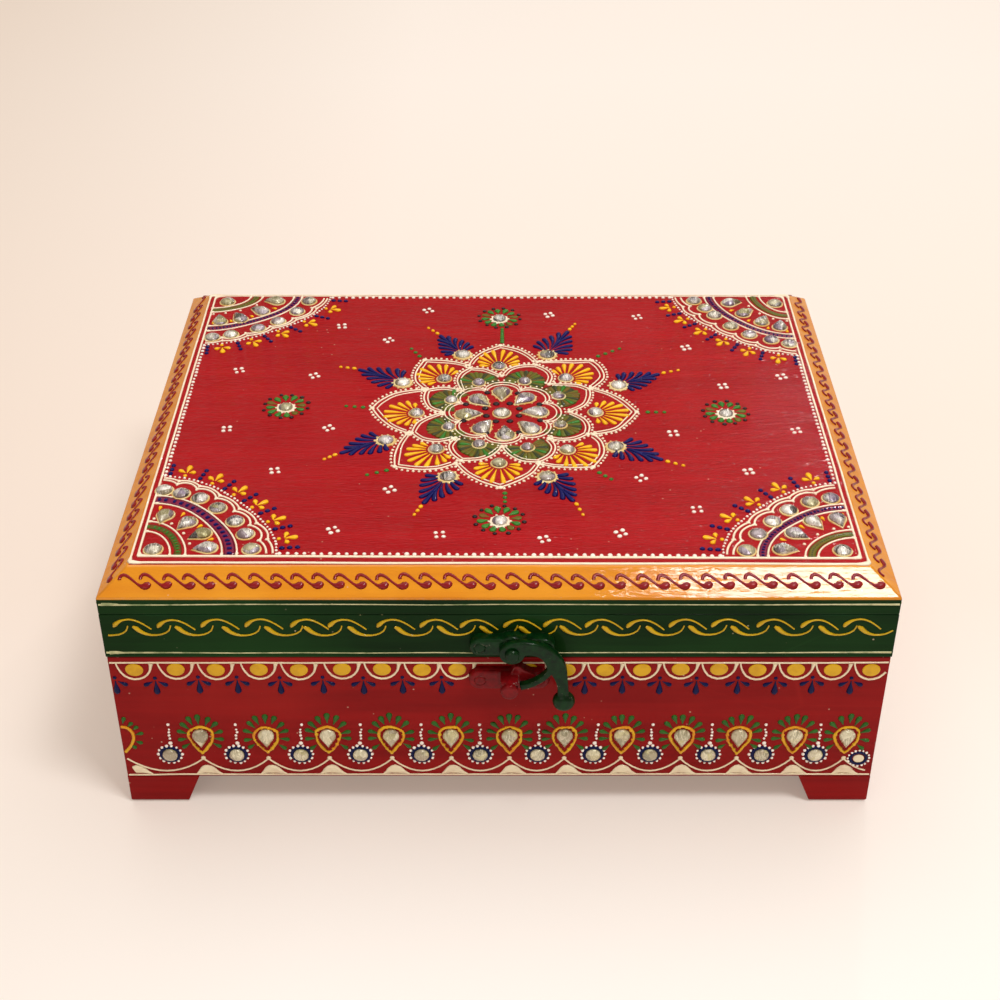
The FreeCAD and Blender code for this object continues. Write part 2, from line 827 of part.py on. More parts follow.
def latch_hook():
    """The cast hook, round at its front edges but for the tongue's bearing edge, and bored."""
    flat = prism(hook_outline(), Vector(0, 0, hook_thickness))
    bearing = Part.Vertex(Vector(*around_pivot(
        tongue_radius - tongue_width / 2, (tongue_tip_angle + tongue_root_angle) / 2, hook_front,
    )))
    rounded = [
        edge for edge in edges_at_height(flat, hook_front)
        if edge.distToShape(bearing)[0] > hook_edge
    ]
    flat = flat.makeFillet(hook_edge, rounded)
    hook = flat.fuse(hook_ball()).removeSplitter()
    bore = disc(rivet_radius + rivet_clearance, (latch_x, latch_z), 0, hook_front + overrun)
    return hook.cut(bore)


def keeper_plate():
    """The cast keeper: a plate with a knob, and a slot between knob and horn for the tongue."""
    back = -lid_overhang
    face = keeper_thickness - lid_overhang
    bar = stadium(keeper_length, keeper_width, (keeper_x, keeper_z), back, face)
    bar = bar.makeFillet(keeper_round, edges_at_height(bar, face))
    slot_front = hook_front + keeper_slot_clearance
    slot_back = hook_back - keeper_slot_clearance
    knob_front = slot_front + keeper_cap_thickness
    knob_z = keeper_z - keeper_knob_drop
    knob = disc(keeper_knob_radius, (keeper_x, knob_z), back, knob_front)
    knob = knob.makeFillet(keeper_knob_round, edges_at_height(knob, knob_front))
    slot_top = keeper_z + tongue_width / 2 + keeper_slot_clearance
    jaw_top = slot_top + keeper_jaw_height
    left = keeper_x - keeper_knob_radius
    jaw_edges = [
        line((left, knob_z, back), (left, jaw_top, back)),
        line((left, jaw_top, back), (left, jaw_top, face)),
        line((left, jaw_top, face), (left, jaw_top - keeper_jaw_slope, hook_front)),
        line((left, jaw_top - keeper_jaw_slope, hook_front), (left, knob_z, hook_front)),
        line((left, knob_z, hook_front), (left, knob_z, back)),
    ]
    jaw = prism(jaw_edges, Vector(2 * keeper_knob_radius, 0, 0))
    fin_points = [
        (keeper_x + x * keeper_width, keeper_z + z * keeper_width, back) for x, z in keeper_fin_shares
    ]
    fin_edges = [line(p, q) for p, q in zip(fin_points, fin_points[1:] + fin_points[:1])]
    fin = prism(fin_edges, Vector(0, 0, hook_back - keeper_fin_gap - back))
    half = tongue_width / 2 + keeper_slot_clearance
    slot = pivot_sector(
        tongue_radius - half, tongue_radius + half,
        tongue_tip_angle - hook_swing_in - keeper_slot_end_angle, tongue_root_angle,
        slot_back, slot_front,
    )
    keeper = bar.fuse([knob, jaw, fin]).removeSplitter().cut(slot)
    nails = latch_nails(
        (keeper_x, keeper_z), keeper_length, keeper_width, face, pin_clearance, False,
    )
    return keeper.cut(nails)


def keeper_nails(extra, domed):
    """The two nails of the keeper, or their holes."""
    face = keeper_thickness - lid_overhang
    return latch_nails((keeper_x, keeper_z), keeper_length, keeper_width, face, extra, domed)


def upper_nails(extra, domed):
    """The two nails of the upper plate, or their holes."""
    return latch_nails(
        latch_middle(), latch_plate_length, latch_plate_width, latch_plate_thickness, extra, domed,
    )


def on_lid_front(solids):
    """Solids of the latch, moved from the latch's own frame to the front of the chest."""
    placement = face_placement("front", lid_depth / 2)
    if isinstance(solids, Part.Shape):
        return placed(solids, placement)
    return [placed(solid, placement) for solid in solids]


# Glass stones: local x and y lie in the face that carries them, z points out of it

def round_stone(radius):
    """A round stone with a low spherical dome."""
    rise = stone_height - stone_girdle
    sphere = (radius * radius + rise * rise) / (2 * rise)
    half = math.asin(radius / sphere) / 2
    shoulder = (sphere * math.sin(half), 0, stone_height - sphere * (1 - math.cos(half)))
    edges = [
        line((0, 0, 0), (radius, 0, 0)), line((radius, 0, 0), (radius, 0, stone_girdle)),
        arc((radius, 0, stone_girdle), shoulder, (0, 0, stone_height)),
        line((0, 0, stone_height), (0, 0, 0)),
    ]
    return Part.Face(Part.Wire(edges)).revolve(Vector(0, 0, 0), Vector(0, 0, 1), 360)


def drop_outline(length, width, scale, height):
    """A drop with its point towards +X and its middle at zero."""
    radius = scale * width / 2
    tip = scale * length / 2
    centre = radius - tip
    spread = math.acos(radius / (tip - centre))
    touch = (centre + radius * math.cos(spread), radius * math.sin(spread), height)
    other = (touch[0], -touch[1], height)
    point = (tip, 0, height)
    edges = [line(point, touch), arc(touch, (centre - radius, 0, height), other), line(other, point)]
    return Part.Wire(edges)


def drop_stone(length, width):
    """A drop-shaped stone with a sloped edge and a flat table."""
    levels = ((1.0, 0.0), (1.0, stone_girdle), (stone_table_share, stone_height))
    outlines = [drop_outline(length, width, scale, height) for scale, height in levels]
    return Part.makeLoft(outlines, True, True)


def set_stone(stone, side, out, x, y, angle=0.0):
    """A stone on one face of the chest, turned in that face."""
    in_face = FreeCAD.Placement(Vector(x, y, 0), Rotation(Vector(0, 0, 1), angle))
    return placed(stone, face_placement(side, out).multiply(in_face))


def medallion_place(share):
    """A point of the lid's ornament, from shares of the medallion's radius."""
    return medallion_x + share[0] * medallion_radius, medallion_y + share[1] * medallion_radius


def lid_round_stones(radius, shares):
    """Round stones on the lid at a list of places."""
    return [set_stone(round_stone(radius), "top", lid_top, *medallion_place(share)) for share in shares]


def medallion_drops():
    """Eight drops round the middle stone, each pointing at it."""
    stones = []
    for share in medallion_ring_shares:
        x, y = medallion_place(share)
        angle = math.degrees(math.atan2(medallion_y - y, medallion_x - x))
        stone = drop_stone(medallion_drop_length, medallion_drop_width)
        stones.append(set_stone(stone, "top", lid_top, x, y, angle))
    return stones


def fan_place(corner, share):
    """A point of a corner fan, from shares of the fan's radius."""
    x_side, y_side = corner
    x = x_side * (lid_width / 2 - border_inset_x - share[0] * fan_radius)
    y = y_side * (lid_depth / 2 - border_inset_y - share[1] * fan_radius)
    return x, y


def fan_round_stones(corner, middle_share, outer_shares):
    """The middle stone and the outer ring of round stones of one fan."""
    x, y = fan_place(corner, middle_share)
    stones = [set_stone(round_stone(fan_middle_stone), "top", lid_top, x, y)]
    for share in outer_shares:
        x, y = fan_place(corner, share)
        stones.append(set_stone(round_stone(fan_outer_stone), "top", lid_top, x, y))
    return stones


def fan_drop_stones(corner, drop_shares):
    """The inner ring of drops of one fan, each pointing at the corner."""
    corner_x, corner_y = fan_place(corner, (0, 0))
    stones = []
    for share in drop_shares:
        x, y = fan_place(corner, share)
        angle = math.degrees(math.atan2(corner_y - y, corner_x - x))
        stones.append(set_stone(drop_stone(fan_drop_length, fan_drop_width), "top", lid_top, x, y, angle))
    return stones


def even_places(width, pitch, half_step):
    """Evenly spaced places along a wall, whole steps or half steps from its middle."""
    start = pitch / 2 if half_step else 0.0
    room = width / 2 - wall_round_stone - stone_edge_margin
    places = []
    step = start
    while step <= room:
        places.append(step)
        if step > 0:
            places.append(-step)
        step += pitch
    return sorted(places)


def wall_stones(side, drop_places, round_places):
    """The drops and the round stones of one wall."""
    out = body_width / 2 if side in ("left", "right") else body_depth / 2
    drop = drop_stone(wall_drop_length, wall_drop_width)
    drop_z = foot_height + wall_drop_height
    round_z = foot_height + wall_round_height
    drops = [set_stone(drop, side, out, place, drop_z, -90) for place in drop_places]
    rounds = [set_stone(round_stone(wall_round_stone), side, out, place, round_z) for place in round_places]
    return drops, rounds


def build_body():
    """All the pieces of the body."""
    holes = foot_screw_holes()
    front = wall(-1).cut(holes)
    front = front.cut(on_lid_front(keeper_nails(pin_clearance, False)))
    save("front_panel", front)
    save("back_panel", wall(1).cut(holes).cut(hinge_cutters(True)).cut(stop_cutter(True)))
    save("left_panel", side_wall(-1).cut(holes))
    save("right_panel", side_wall(1).cut(holes))
    save("bottom_panel", bottom_panel())
    for x_side, y_side in corners():
        name = "foot_" + ("front" if y_side < 0 else "back") + ("_left" if x_side < 0 else "_right")
        save(name, foot(x_side, y_side))
    save("corner_pins", pins(body_corner_pin_places()))
    save("bottom_pins", pins(bottom_pin_places()))
    save("foot_screws", foot_screws())
    save("keeper_plate", on_lid_front(keeper_plate()))
    save("keeper_nails", on_lid_front(keeper_nails(0.0, True)))


def build_lid():
    """All the pieces of the lid."""
    save("lid_top_panel", lid_top_panel())
    front = rail(-1).cut(on_lid_front(upper_nails(pin_clearance, False)))
    save("lid_front_rail", front)
    save("lid_back_rail", rail(1).cut(hinge_cutters(False)).cut(stop_cutter(False)))
    save("lid_left_rail", side_rail(-1))
    save("lid_right_rail", side_rail(1))
    save("lid_corner_pins", pins(lid_corner_pin_places()))
    save("lid_top_pins", pins(lid_top_pin_places()))
    save("latch_plate", on_lid_front(latch_plate()))
    save("latch_plate_nails", on_lid_front(upper_nails(0.0, True)))
    save("latch_pivot_rivet", on_lid_front(rivet(0.0, False)))
    save("latch_hook", on_lid_front(latch_hook()))


def build_hinges():
    """Both hinges, with their pins and screws."""
    for name, middle in zip(("hinge_left", "hinge_right"), hinge_middles()):
        save(name + "_lower_leaf", hinge_leaf(middle, True))
        save(name + "_upper_leaf", hinge_leaf(middle, False))
        save(name + "_pin", hinge_pin(middle))
    for name, lower in (("hinge_lower_screws", True), ("hinge_upper_screws", False)):
        screws = [
            hinge_screw_shape(x, lower, 0.0, True)
            for middle in hinge_middles() for x in hinge_screw_places(middle)
        ]
        save(name, screws)


def build_stones():
    """All the glass stones of the lid and the walls."""
    middle = [set_stone(round_stone(medallion_middle_stone), "top", lid_top, medallion_x, medallion_y)]
    inner = lid_round_stones(inner_petal_stone, inner_petal_shares)
    outer = lid_round_stones(outer_petal_stone, outer_petal_shares)
    save("medallion_round_stones", middle + inner + outer)
    save("medallion_drop_stones", medallion_drops())
    save("spray_stones", lid_round_stones(spray_stone, spray_shares))
    save("rosette_stones", lid_round_stones(rosette_stone, rosette_shares))
    names = ("front_left", "front_right", "back_left", "back_right")
    tables = zip(names, corners(), fan_middle_shares, fan_drop_shares, fan_outer_shares)
    for name, corner, middle_share, drops, rounds in tables:
        save("fan_" + name + "_drop_stones", fan_drop_stones(corner, drops))
        save("fan_" + name + "_round_stones", fan_round_stones(corner, middle_share, rounds))
    half = body_width / 2
    front = ([share * half for share in front_drop_shares], [share * half for share in front_round_shares])
    back_drops = even_places(body_width, wall_stone_pitch, True)
    back_rounds = even_places(body_width, wall_stone_pitch, False)
    side_drops = even_places(body_depth, wall_stone_pitch, True)
    side_rounds = even_places(body_depth, wall_stone_pitch, False)
    places = {
        "front": front, "back": (back_drops, back_rounds),
        "left": (side_drops, side_rounds), "right": (side_drops, side_rounds),
    }
    for side, (drop_places, round_places) in places.items():
        drops, rounds = wall_stones(side, drop_places, round_places)
        save(side + "_drop_stones", drops)
        save(side + "_round_stones", rounds)


build_body()
build_lid()
build_hinges()
build_stones()
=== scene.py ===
"""The looks of a painted wooden tabletop chest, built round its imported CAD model.

The chest is dressed in three layers. Its boards are made again with eased, worn edges and a
coat of paint for each zone. The raised paint of the ornament is laid on them as relief. The
stones, the latch and the hinges are the CAD model's own, with a finish for each.
"""
import logging
import math
import random
from dataclasses import dataclass, field, replace
from enum import Enum
from functools import cache
from typing import Iterable, Sequence

import bmesh
import bpy
from mathutils import Matrix, Vector


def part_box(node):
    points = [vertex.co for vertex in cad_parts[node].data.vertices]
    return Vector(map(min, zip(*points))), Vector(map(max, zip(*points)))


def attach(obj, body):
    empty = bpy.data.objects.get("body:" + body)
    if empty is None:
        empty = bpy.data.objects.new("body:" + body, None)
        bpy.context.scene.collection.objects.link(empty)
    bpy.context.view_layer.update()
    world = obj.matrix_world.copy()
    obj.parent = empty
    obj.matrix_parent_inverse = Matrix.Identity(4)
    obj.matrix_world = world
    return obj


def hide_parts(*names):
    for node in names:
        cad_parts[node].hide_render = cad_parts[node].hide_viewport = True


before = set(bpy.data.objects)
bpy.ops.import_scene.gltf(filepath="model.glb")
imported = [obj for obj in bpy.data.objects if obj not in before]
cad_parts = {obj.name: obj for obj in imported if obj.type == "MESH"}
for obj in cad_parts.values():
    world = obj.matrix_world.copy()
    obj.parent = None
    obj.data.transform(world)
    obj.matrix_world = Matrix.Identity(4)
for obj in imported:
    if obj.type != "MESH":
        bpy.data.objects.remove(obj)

LOG = logging.getLogger("painted_chest")
MM = 0.001
HAND_SEED = 11
LARGE_DOT = 1.8
SUNK = 0.03

Point = tuple[float, float]
Stone = tuple[Point, list[Point]]
StrokePoint = tuple[float, float, float]
Colour = tuple[float, float, float, float]


class Slot(Enum):
    """Names of the record's material slots; no piece is given one here."""

    RED = "painted_wood_red"
    GREEN = "painted_wood_green"


class Body(Enum):
    """The bodies that the new pieces ride on."""

    BOX = "box"
    LID = "lid"


class Side(Enum):
    """The four upright sides, each with the direction that runs along it."""

    FRONT = (1, 0)
    RIGHT = (0, 1)
    BACK = (-1, 0)
    LEFT = (0, -1)

    def along(self) -> Vector:
        """The direction that runs along the side, to the right as one looks at it."""
        return Vector((self.value[0], self.value[1], 0))

    def outwards(self) -> Vector:
        """The direction that the side faces."""
        return Vector((self.value[1], -self.value[0], 0))


def tone(code: str) -> Colour:
    """Turn the hex code of an sRGB colour into the linear colour that a shader takes.

    Args:
        code: Six hex digits.

    Returns:
        Red, green, blue and an alpha of one.
    """
    shares = [int(code[i:i + 2], 16) / 255 for i in (0, 2, 4)]
    linear = [s / 12.92 if s <= 0.04045 else ((s + 0.055) / 1.055) ** 2.4 for s in shares]
    return (linear[0], linear[1], linear[2], 1.0)


# Finishes


class Graph:
    """The node tree of one material, with short calls for the nodes that the finishes share."""

    def __init__(self, name: str) -> None:
        """Start a material with one principled shader.

        Args:
            name: The material's name.
        """
        self.material = bpy.data.materials.new(name)
        self.material.use_nodes = True
        self.tree = self.material.node_tree
        self.tree.nodes.clear()
        output = self.node("ShaderNodeOutputMaterial")
        self.shader = self.node("ShaderNodeBsdfPrincipled")
        self.tree.links.new(self.shader.outputs[0], output.inputs["Surface"])
        self.place = self.node("ShaderNodeTexCoord").outputs["Object"]

    def node(self, kind: str, **settings: object) -> bpy.types.Node:
        """Add one node.

        Args:
            kind: The node's type.
            settings: Values of its properties.

        Returns:
            The node.
        """
        made = self.tree.nodes.new(kind)
        for key, value in settings.items():
            setattr(made, key, value)
        return made

    def feed(self, socket: bpy.types.NodeSocket, value: object) -> None:
        """Link a socket to an output, or set its own value.

        Args:
            socket: The input.
            value: An output socket, a number or a colour.
        """
        if isinstance(value, bpy.types.NodeSocket):
            self.tree.links.new(value, socket)
        else:
            socket.default_value = value

    def scaled(self, scale: Sequence[float], turn: Sequence[float] = (0, 0, 0)) -> bpy.types.NodeSocket:
        """Object coordinates, stretched and turned.

        Args:
            scale: The scale on each axis.
            turn: The turn about each axis, in degrees.

        Returns:
            The vector output.
        """
        mapping = self.node("ShaderNodeMapping")
        self.feed(mapping.inputs["Vector"], self.place)
        mapping.inputs["Scale"].default_value = scale
        mapping.inputs["Rotation"].default_value = [math.radians(angle) for angle in turn]
        return mapping.outputs[0]

    def noise(
        self, scale: float, detail: float = 4.0, rough: float = 0.55,
        vector: bpy.types.NodeSocket | None = None, warp: float = 0.0,
    ) -> bpy.types.NodeSocket:
        """A noise value between nought and one.

        Args:
            scale: Its scale.
            detail: How many octaves it has.
            rough: How strong the fine octaves are.
            vector: The coordinates, or None for plain Object coordinates.
            warp: How far it is distorted.

        Returns:
            The value output.
        """
        made = self.node("ShaderNodeTexNoise")
        self.feed(made.inputs["Vector"], vector or self.place)
        made.inputs["Scale"].default_value = scale
        made.inputs["Detail"].default_value = detail
        made.inputs["Roughness"].default_value = rough
        made.inputs["Distortion"].default_value = warp
        return made.outputs[0]

    def cells(self, scale: float, feature: str = "F1", vector: bpy.types.NodeSocket | None = None,
              output: str = "Distance") -> bpy.types.NodeSocket:
        """A cell pattern.

        Args:
            scale: Its scale.
            feature: Which distance it gives.
            vector: The coordinates, or None for plain Object coordinates.
            output: Which output is read.

        Returns:
            The chosen output.
        """
        made = self.node("ShaderNodeTexVoronoi", feature=feature)
        self.feed(made.inputs["Vector"], vector or self.place)
        made.inputs["Scale"].default_value = scale
        return made.outputs[output]

    def span(
        self, value: object, low: float, high: float, start: float = 0.0, end: float = 1.0,
    ) -> bpy.types.NodeSocket:
        """Stretch the part of a value between two limits, clamped.

        Args:
            value: The value.
            low: Its lower limit.
            high: Its upper limit.
            start: The result at the lower limit.
            end: The result at the upper limit.

        Returns:
            The result.
        """
        made = self.node("ShaderNodeMapRange", clamp=True)
        self.feed(made.inputs["Value"], value)
        for key, number in (("From Min", low), ("From Max", high), ("To Min", start), ("To Max", end)):
            made.inputs[key].default_value = number
        return made.outputs[0]

    def math(self, operation: str, a: object, b: object = 0.0) -> bpy.types.NodeSocket:
        """One sum of two values.

        Args:
            operation: The kind of sum.
            a: The first value.
            b: The second value.

        Returns:
            The result.
        """
        made = self.node("ShaderNodeMath", operation=operation)
        self.feed(made.inputs[0], a)
        self.feed(made.inputs[1], b)
        return made.outputs[0]

    def mix(self, share: object, a: object, b: object) -> bpy.types.NodeSocket:
        """A colour between two colours.

        Args:
            share: How much of the second colour there is.
            a: The first colour.
            b: The second colour.

        Returns:
            The colour output.
        """
        made = self.node("ShaderNodeMix", data_type="RGBA")
        self.feed(made.inputs[0], share)
        self.feed(made.inputs[6], a)
        self.feed(made.inputs[7], b)
        return made.outputs[2]

    def bump(
        self, height: object, distance: float, strength: float = 1.0, normal: object = None,
    ) -> bpy.types.NodeSocket:
        """A bumped normal.

        Args:
            height: The height value.
            distance: The depth of the relief, in metres.
            strength: How much of it is used.
            normal: A normal to build on, or None.

        Returns:
            The normal output.
        """
        made = self.node("ShaderNodeBump")
        made.inputs["Distance"].default_value = distance
        made.inputs["Strength"].default_value = strength
        self.feed(made.inputs["Height"], height)
        if normal is not None:
            self.feed(made.inputs["Normal"], normal)
        return made.outputs[0]

    def rounded(self, radius: float, samples: int = 6) -> bpy.types.NodeSocket:
        """A normal that is rounded off at the sharp edges.

        Args:
            radius: The radius of the rounding, in metres.
            samples: How many rays it takes.

        Returns:
            The normal output.
        """
        made = self.node("ShaderNodeBevel", samples=samples)
        made.inputs["Radius"].default_value = radius
        return made.outputs[0]

    def edge(self, radius: float) -> bpy.types.NodeSocket:
        """How near a sharp edge a point is: nought on a flat face, more at an edge.

        Args:
            radius: How far from an edge it starts, in metres.

        Returns:
            The value output.
        """
        flat = self.node("ShaderNodeNewGeometry").outputs["Normal"]
        product = self.node("ShaderNodeVectorMath", operation="DOT_PRODUCT")
        self.feed(product.inputs[0], self.rounded(radius))
        self.feed(product.inputs[1], flat)
        return self.math("SUBTRACT", 1.0, product.outputs["Value"])

    def dress(self, **values: object) -> None:
        """Set the shader's sockets.

        Args:
            values: Socket names in lower case with underscores, and what each gets.
        """
        for key, value in values.items():
            self.feed(self.shader.inputs[key.replace("_", " ").title().replace("Ior", "IOR")], value)


@dataclass(frozen=True)
class Lacquer:
    """Brushed gloss paint under a thick, uneven coat of varnish."""

    name: str
    base: str
    deep: str
    light: str
    chip: str = "E8D2B4"
    grain: tuple[float, float, float] = (9.0, 160.0, 160.0)
    worn: bool = False
    varnish: float = 0.12
    shine: float = 0.03
    ripple: float = 0.0
    fineness: float = 620.0
    soft: float = 0.0
    blur: float = 0.07
    wave_depth: float = 0.0006
    settle_depth: float = 0.00035
    varnish_index: float = 1.5

    def material(self) -> bpy.types.Material:
        """Make the material.

        Returns:
            The material.
        """
        g = Graph(self.name)
        streaks = g.noise(1.0, 5.0, 0.62, g.scaled(self.grain))
        clouds = g.noise(16.0, 3.0, 0.5)
        colour = g.mix(g.span(streaks, 0.36, 0.66), tone(self.deep), tone(self.base))
        colour = g.mix(g.span(clouds, 0.52, 0.75, 0.0, 0.55), colour, tone(self.light))
        hairs = g.cells(1.0, "DISTANCE_TO_EDGE", g.scaled((7.0, 34.0, 21.0), (14, 9, 24)))
        patchy = g.span(g.noise(9.0, 2.0), 0.52, 0.66)
        scratch = g.math("MULTIPLY", g.span(hairs, 0.0, 0.007, 1.0, 0.0), patchy)
        colour = g.mix(g.math("MULTIPLY", scratch, 0.35), colour, tone(self.light))
        dust = g.cells(260.0)
        dusty = g.span(g.noise(60.0, 2.0), 0.55, 0.61)
        specks = g.math("MULTIPLY", g.span(dust, 0.05, 0.1, 1.0, 0.0), dusty)
        colour = g.mix(g.math("MULTIPLY", specks, 0.5), colour, tone(self.chip))
        if self.worn:
            chips = g.noise(1.0, 4.0, 0.75, g.scaled((150.0, 420.0, 420.0)))
            bare = g.span(chips, 0.67, 0.7)
            colour = g.mix(g.math("MULTIPLY", bare, 0.8), colour, tone(self.chip))
        settle = g.noise(1.0, 3.0, 0.5, g.scaled([0.45 * s for s in self.grain]))
        eased = g.rounded(self.soft) if self.soft else None
        waves = g.bump(g.noise(34.0, 2.0, 0.4), self.wave_depth, 0.5, eased)
        normal = g.bump(settle, self.settle_depth, 0.6, waves)
        if self.ripple:
            brushed = g.scaled((150.0, self.fineness, self.fineness), (0, 0, 6))
            strokes = g.noise(1.0, 2.0, 0.5, brushed, 0.9)
            normal = g.bump(strokes, self.ripple, 1.0, normal)
        g.dress(
            base_color=colour, roughness=g.span(clouds, 0.3, 0.7, 0.36, 0.5), normal=normal,
            specular_ior_level=self.shine, coat_weight=self.varnish, coat_roughness=self.blur,
            coat_normal=normal, coat_ior=self.varnish_index,
        )
        return g.material


@dataclass(frozen=True)
class RaisedPaint:
    """Thick paint squeezed from a cone, glossy on top and thinner in places."""

    name: str
    base: str
    thin: str
    thin_share: float = 0.5
    gloss: float = 0.28
    coat: float = 0.35

    def material(self) -> bpy.types.Material:
        """Make the material.

        Returns:
            The material.
        """
        g = Graph(self.name)
        thinning = g.noise(240.0, 3.0, 0.6)
        broad = g.noise(42.0, 2.0, 0.5)
        share = g.math("MULTIPLY", g.span(thinning, 0.45, 0.68), self.thin_share)
        share = g.math("ADD", share, g.span(broad, 0.5, 0.75, 0.0, self.thin_share * 0.6))
        colour = g.mix(share, tone(self.base), tone(self.thin))
        normal = g.bump(g.noise(900.0, 2.0), 0.00008, 0.6)
        g.dress(
            base_color=colour, roughness=g.span(thinning, 0.3, 0.7, self.gloss, self.gloss + 0.15),
            coat_weight=self.coat, coat_roughness=0.06, specular_ior_level=0.12, normal=normal,
        )
        return g.material


@dataclass(frozen=True)
class BareWood:
    """Unpainted softwood with its grain along one axis."""

    name: str
    pale: str = "D9B98C"
    dark: str = "A97B4B"
    grain: tuple[float, float, float] = (6.0, 90.0, 90.0)

    def material(self) -> bpy.types.Material:
        """Make the material.

        Returns:
            The material.
        """
        g = Graph(self.name)
        rings = g.noise(1.0, 4.0, 0.6, g.scaled(self.grain), 1.2)
        fibres = g.noise(1.0, 4.0, 0.7, g.scaled([6.0 * s for s in self.grain]))
        colour = g.mix(g.span(rings, 0.35, 0.65), tone(self.pale), tone(self.dark))
        colour = g.mix(g.span(fibres, 0.5, 0.8, 0.0, 0.45), colour, tone(self.dark))
        g.dress(base_color=colour, roughness=g.span(fibres, 0.3, 0.7, 0.6, 0.8),
                normal=g.bump(fibres, 0.0002, 0.7))
        return g.material


@dataclass(frozen=True)
class FoiledGlass:
    """Glass stones with silvered backs, whose bright and dark streaks are painted reflections of the foil,
    with warm and lilac patches.
    """

    name: str
    # The near white and the dark tone of the foil's painted reflections.
    painted_glint: str = "E4E0D8"
    painted_dark_reflection: str = "403B38"
    warm: str = "A8A068"
    tint: str = "86708E"
    metal: float = 0.45
    cell: float = 250.0
    soft: float = 0.0012
    relief_depth: float = 0.0004

    def material(self) -> bpy.types.Material:
        """Make the material.

        Returns:
            The material.
        """
        g = Graph(self.name)
        facets = g.cells(self.cell, output="Color")
        split = g.node("ShaderNodeSeparateColor")
        g.feed(split.inputs[0], facets)
        # Painted reflections: streaks and cells run the colour from the painted dark reflection to the
        # painted glint.
        streaks = g.noise(1.0, 4.0, 0.65, g.scaled((760.0, 210.0, 320.0), (0, 0, 28)), 1.4)
        share = g.math("ADD", g.math("MULTIPLY", split.outputs[0], 0.3), g.math("MULTIPLY", streaks, 0.7))
        colour = g.mix(g.span(share, 0.38, 0.58), tone(self.painted_dark_reflection), tone(self.painted_glint))
        colour = g.mix(g.span(split.outputs[1], 0.5, 0.85, 0.0, 0.75), colour, tone(self.warm))
        colour = g.mix(g.span(split.outputs[2], 0.5, 0.9, 0.0, 0.65), colour, tone(self.tint))
        eased = g.rounded(self.soft)
        relief = g.math("ADD", g.math("MULTIPLY", split.outputs[2], 0.5), streaks)
        g.dress(
            base_color=colour, metallic=self.metal, roughness=g.span(streaks, 0.3, 0.7, 0.16, 0.34),
            normal=g.bump(relief, self.relief_depth, 0.4, eased), coat_weight=1.0, coat_roughness=0.05,
            coat_normal=eased,
        )
        return g.material


@dataclass(frozen=True)
class CastEnamel:
    """Enamel on cast metal, worn through at the edges."""

    name: str
    base: str
    deep: str
    metal: str = "8C7B66"
    wear: float = 0.1
    soft: float = 0.0011
    rub_width: float = 0.0005

    def material(self) -> bpy.types.Material:
        """Make the material.

        Returns:
            The material.
        """
        g = Graph(self.name)
        blotches = g.noise(420.0, 4.0, 0.65)
        colour = g.mix(g.span(blotches, 0.35, 0.65), tone(self.deep), tone(self.base))
        rim = g.span(g.edge(self.rub_width), 0.06, 0.25)
        rub = g.math("MULTIPLY", rim, g.span(g.noise(700.0, 3.0, 0.7), 0.5, 0.66))
        bare = g.math("MAXIMUM", rub, g.span(g.noise(230.0, 4.0, 0.7), 0.8 - self.wear, 0.86 - self.wear))
        colour = g.mix(g.math("MULTIPLY", bare, 0.7), colour, tone(self.metal))
        normal = g.bump(blotches, 0.0002, 0.6, g.rounded(self.soft, 8))
        g.dress(
            base_color=colour, metallic=g.span(bare, 0.0, 1.0, 0.0, 0.5),
            roughness=g.span(blotches, 0.3, 0.7, 0.4, 0.55), specular_ior_level=0.02,
            normal=normal, coat_weight=0.3, coat_roughness=0.05, coat_normal=normal,
        )
        return g.material


@dataclass(frozen=True)
class AgedMetal:
    """Plain metal with tarnish and fine scratches."""

    name: str
    base: str
    tarnish: str
    rough: float = 0.32

    def material(self) -> bpy.types.Material:
        """Make the material.

        Returns:
            The material.
        """
        g = Graph(self.name)
        spots = g.noise(520.0, 4.0, 0.65)
        lines = g.noise(1.0, 3.0, 0.7, g.scaled((300.0, 2600.0, 2600.0)))
        colour = g.mix(g.span(spots, 0.48, 0.72), tone(self.base), tone(self.tarnish))
        g.dress(base_color=colour, metallic=1.0,
                roughness=g.span(spots, 0.3, 0.7, self.rough, self.rough + 0.2),
                normal=g.bump(g.math("ADD", spots, lines), 0.00006, 0.8))
        return g.material


# Faces of the chest and the relief that lies on them


@dataclass(frozen=True)
class Face:
    """A flat face with its own x and y in millimetres, and z out of it."""

    origin: Vector
    along: Vector
    up: Vector

    def matrix(self) -> Matrix:
        """The place of the face's millimetres in the row frame's metres.

        Returns:
            The matrix.
        """
        out = self.along.cross(self.up)
        turned = Matrix((self.along, self.up, out)).transposed().to_4x4()
        return Matrix.Translation(self.origin * MM) @ turned @ Matrix.Scale(MM, 4)


def flow(points: Sequence[StrokePoint], steps: int = 4, closed: bool = False) -> list[StrokePoint]:
    """Round off a run of stroke points, widths and all.

    Args:
        points: Places and half widths.
        steps: How many parts each stretch gets.
        closed: Whether the last point leads back to the first.

    Returns:
        The finer run.
    """
    count = len(points)
    result: list[StrokePoint] = []
    last = count if closed else count - 1
    for i in range(last):
        before = points[i - 1] if closed or i > 0 else points[i]
        a, b = points[i], points[(i + 1) % count]
        after = points[(i + 2) % count] if closed or i + 2 < count else b
        for step in range(steps):
            t = step / steps
            values = []
            for p, q, r, s in zip(before, a, b, after):
                bend = (2 * p - 5 * q + 4 * r - s) * t * t
                values.append(0.5 * (2 * q + (r - p) * t + bend + (3 * q - p - 3 * r + s) * t ** 3))
            result.append((values[0], values[1], max(values[2], 0.02)))
    if not closed:
        result.append(tuple(points[-1]))
    return result


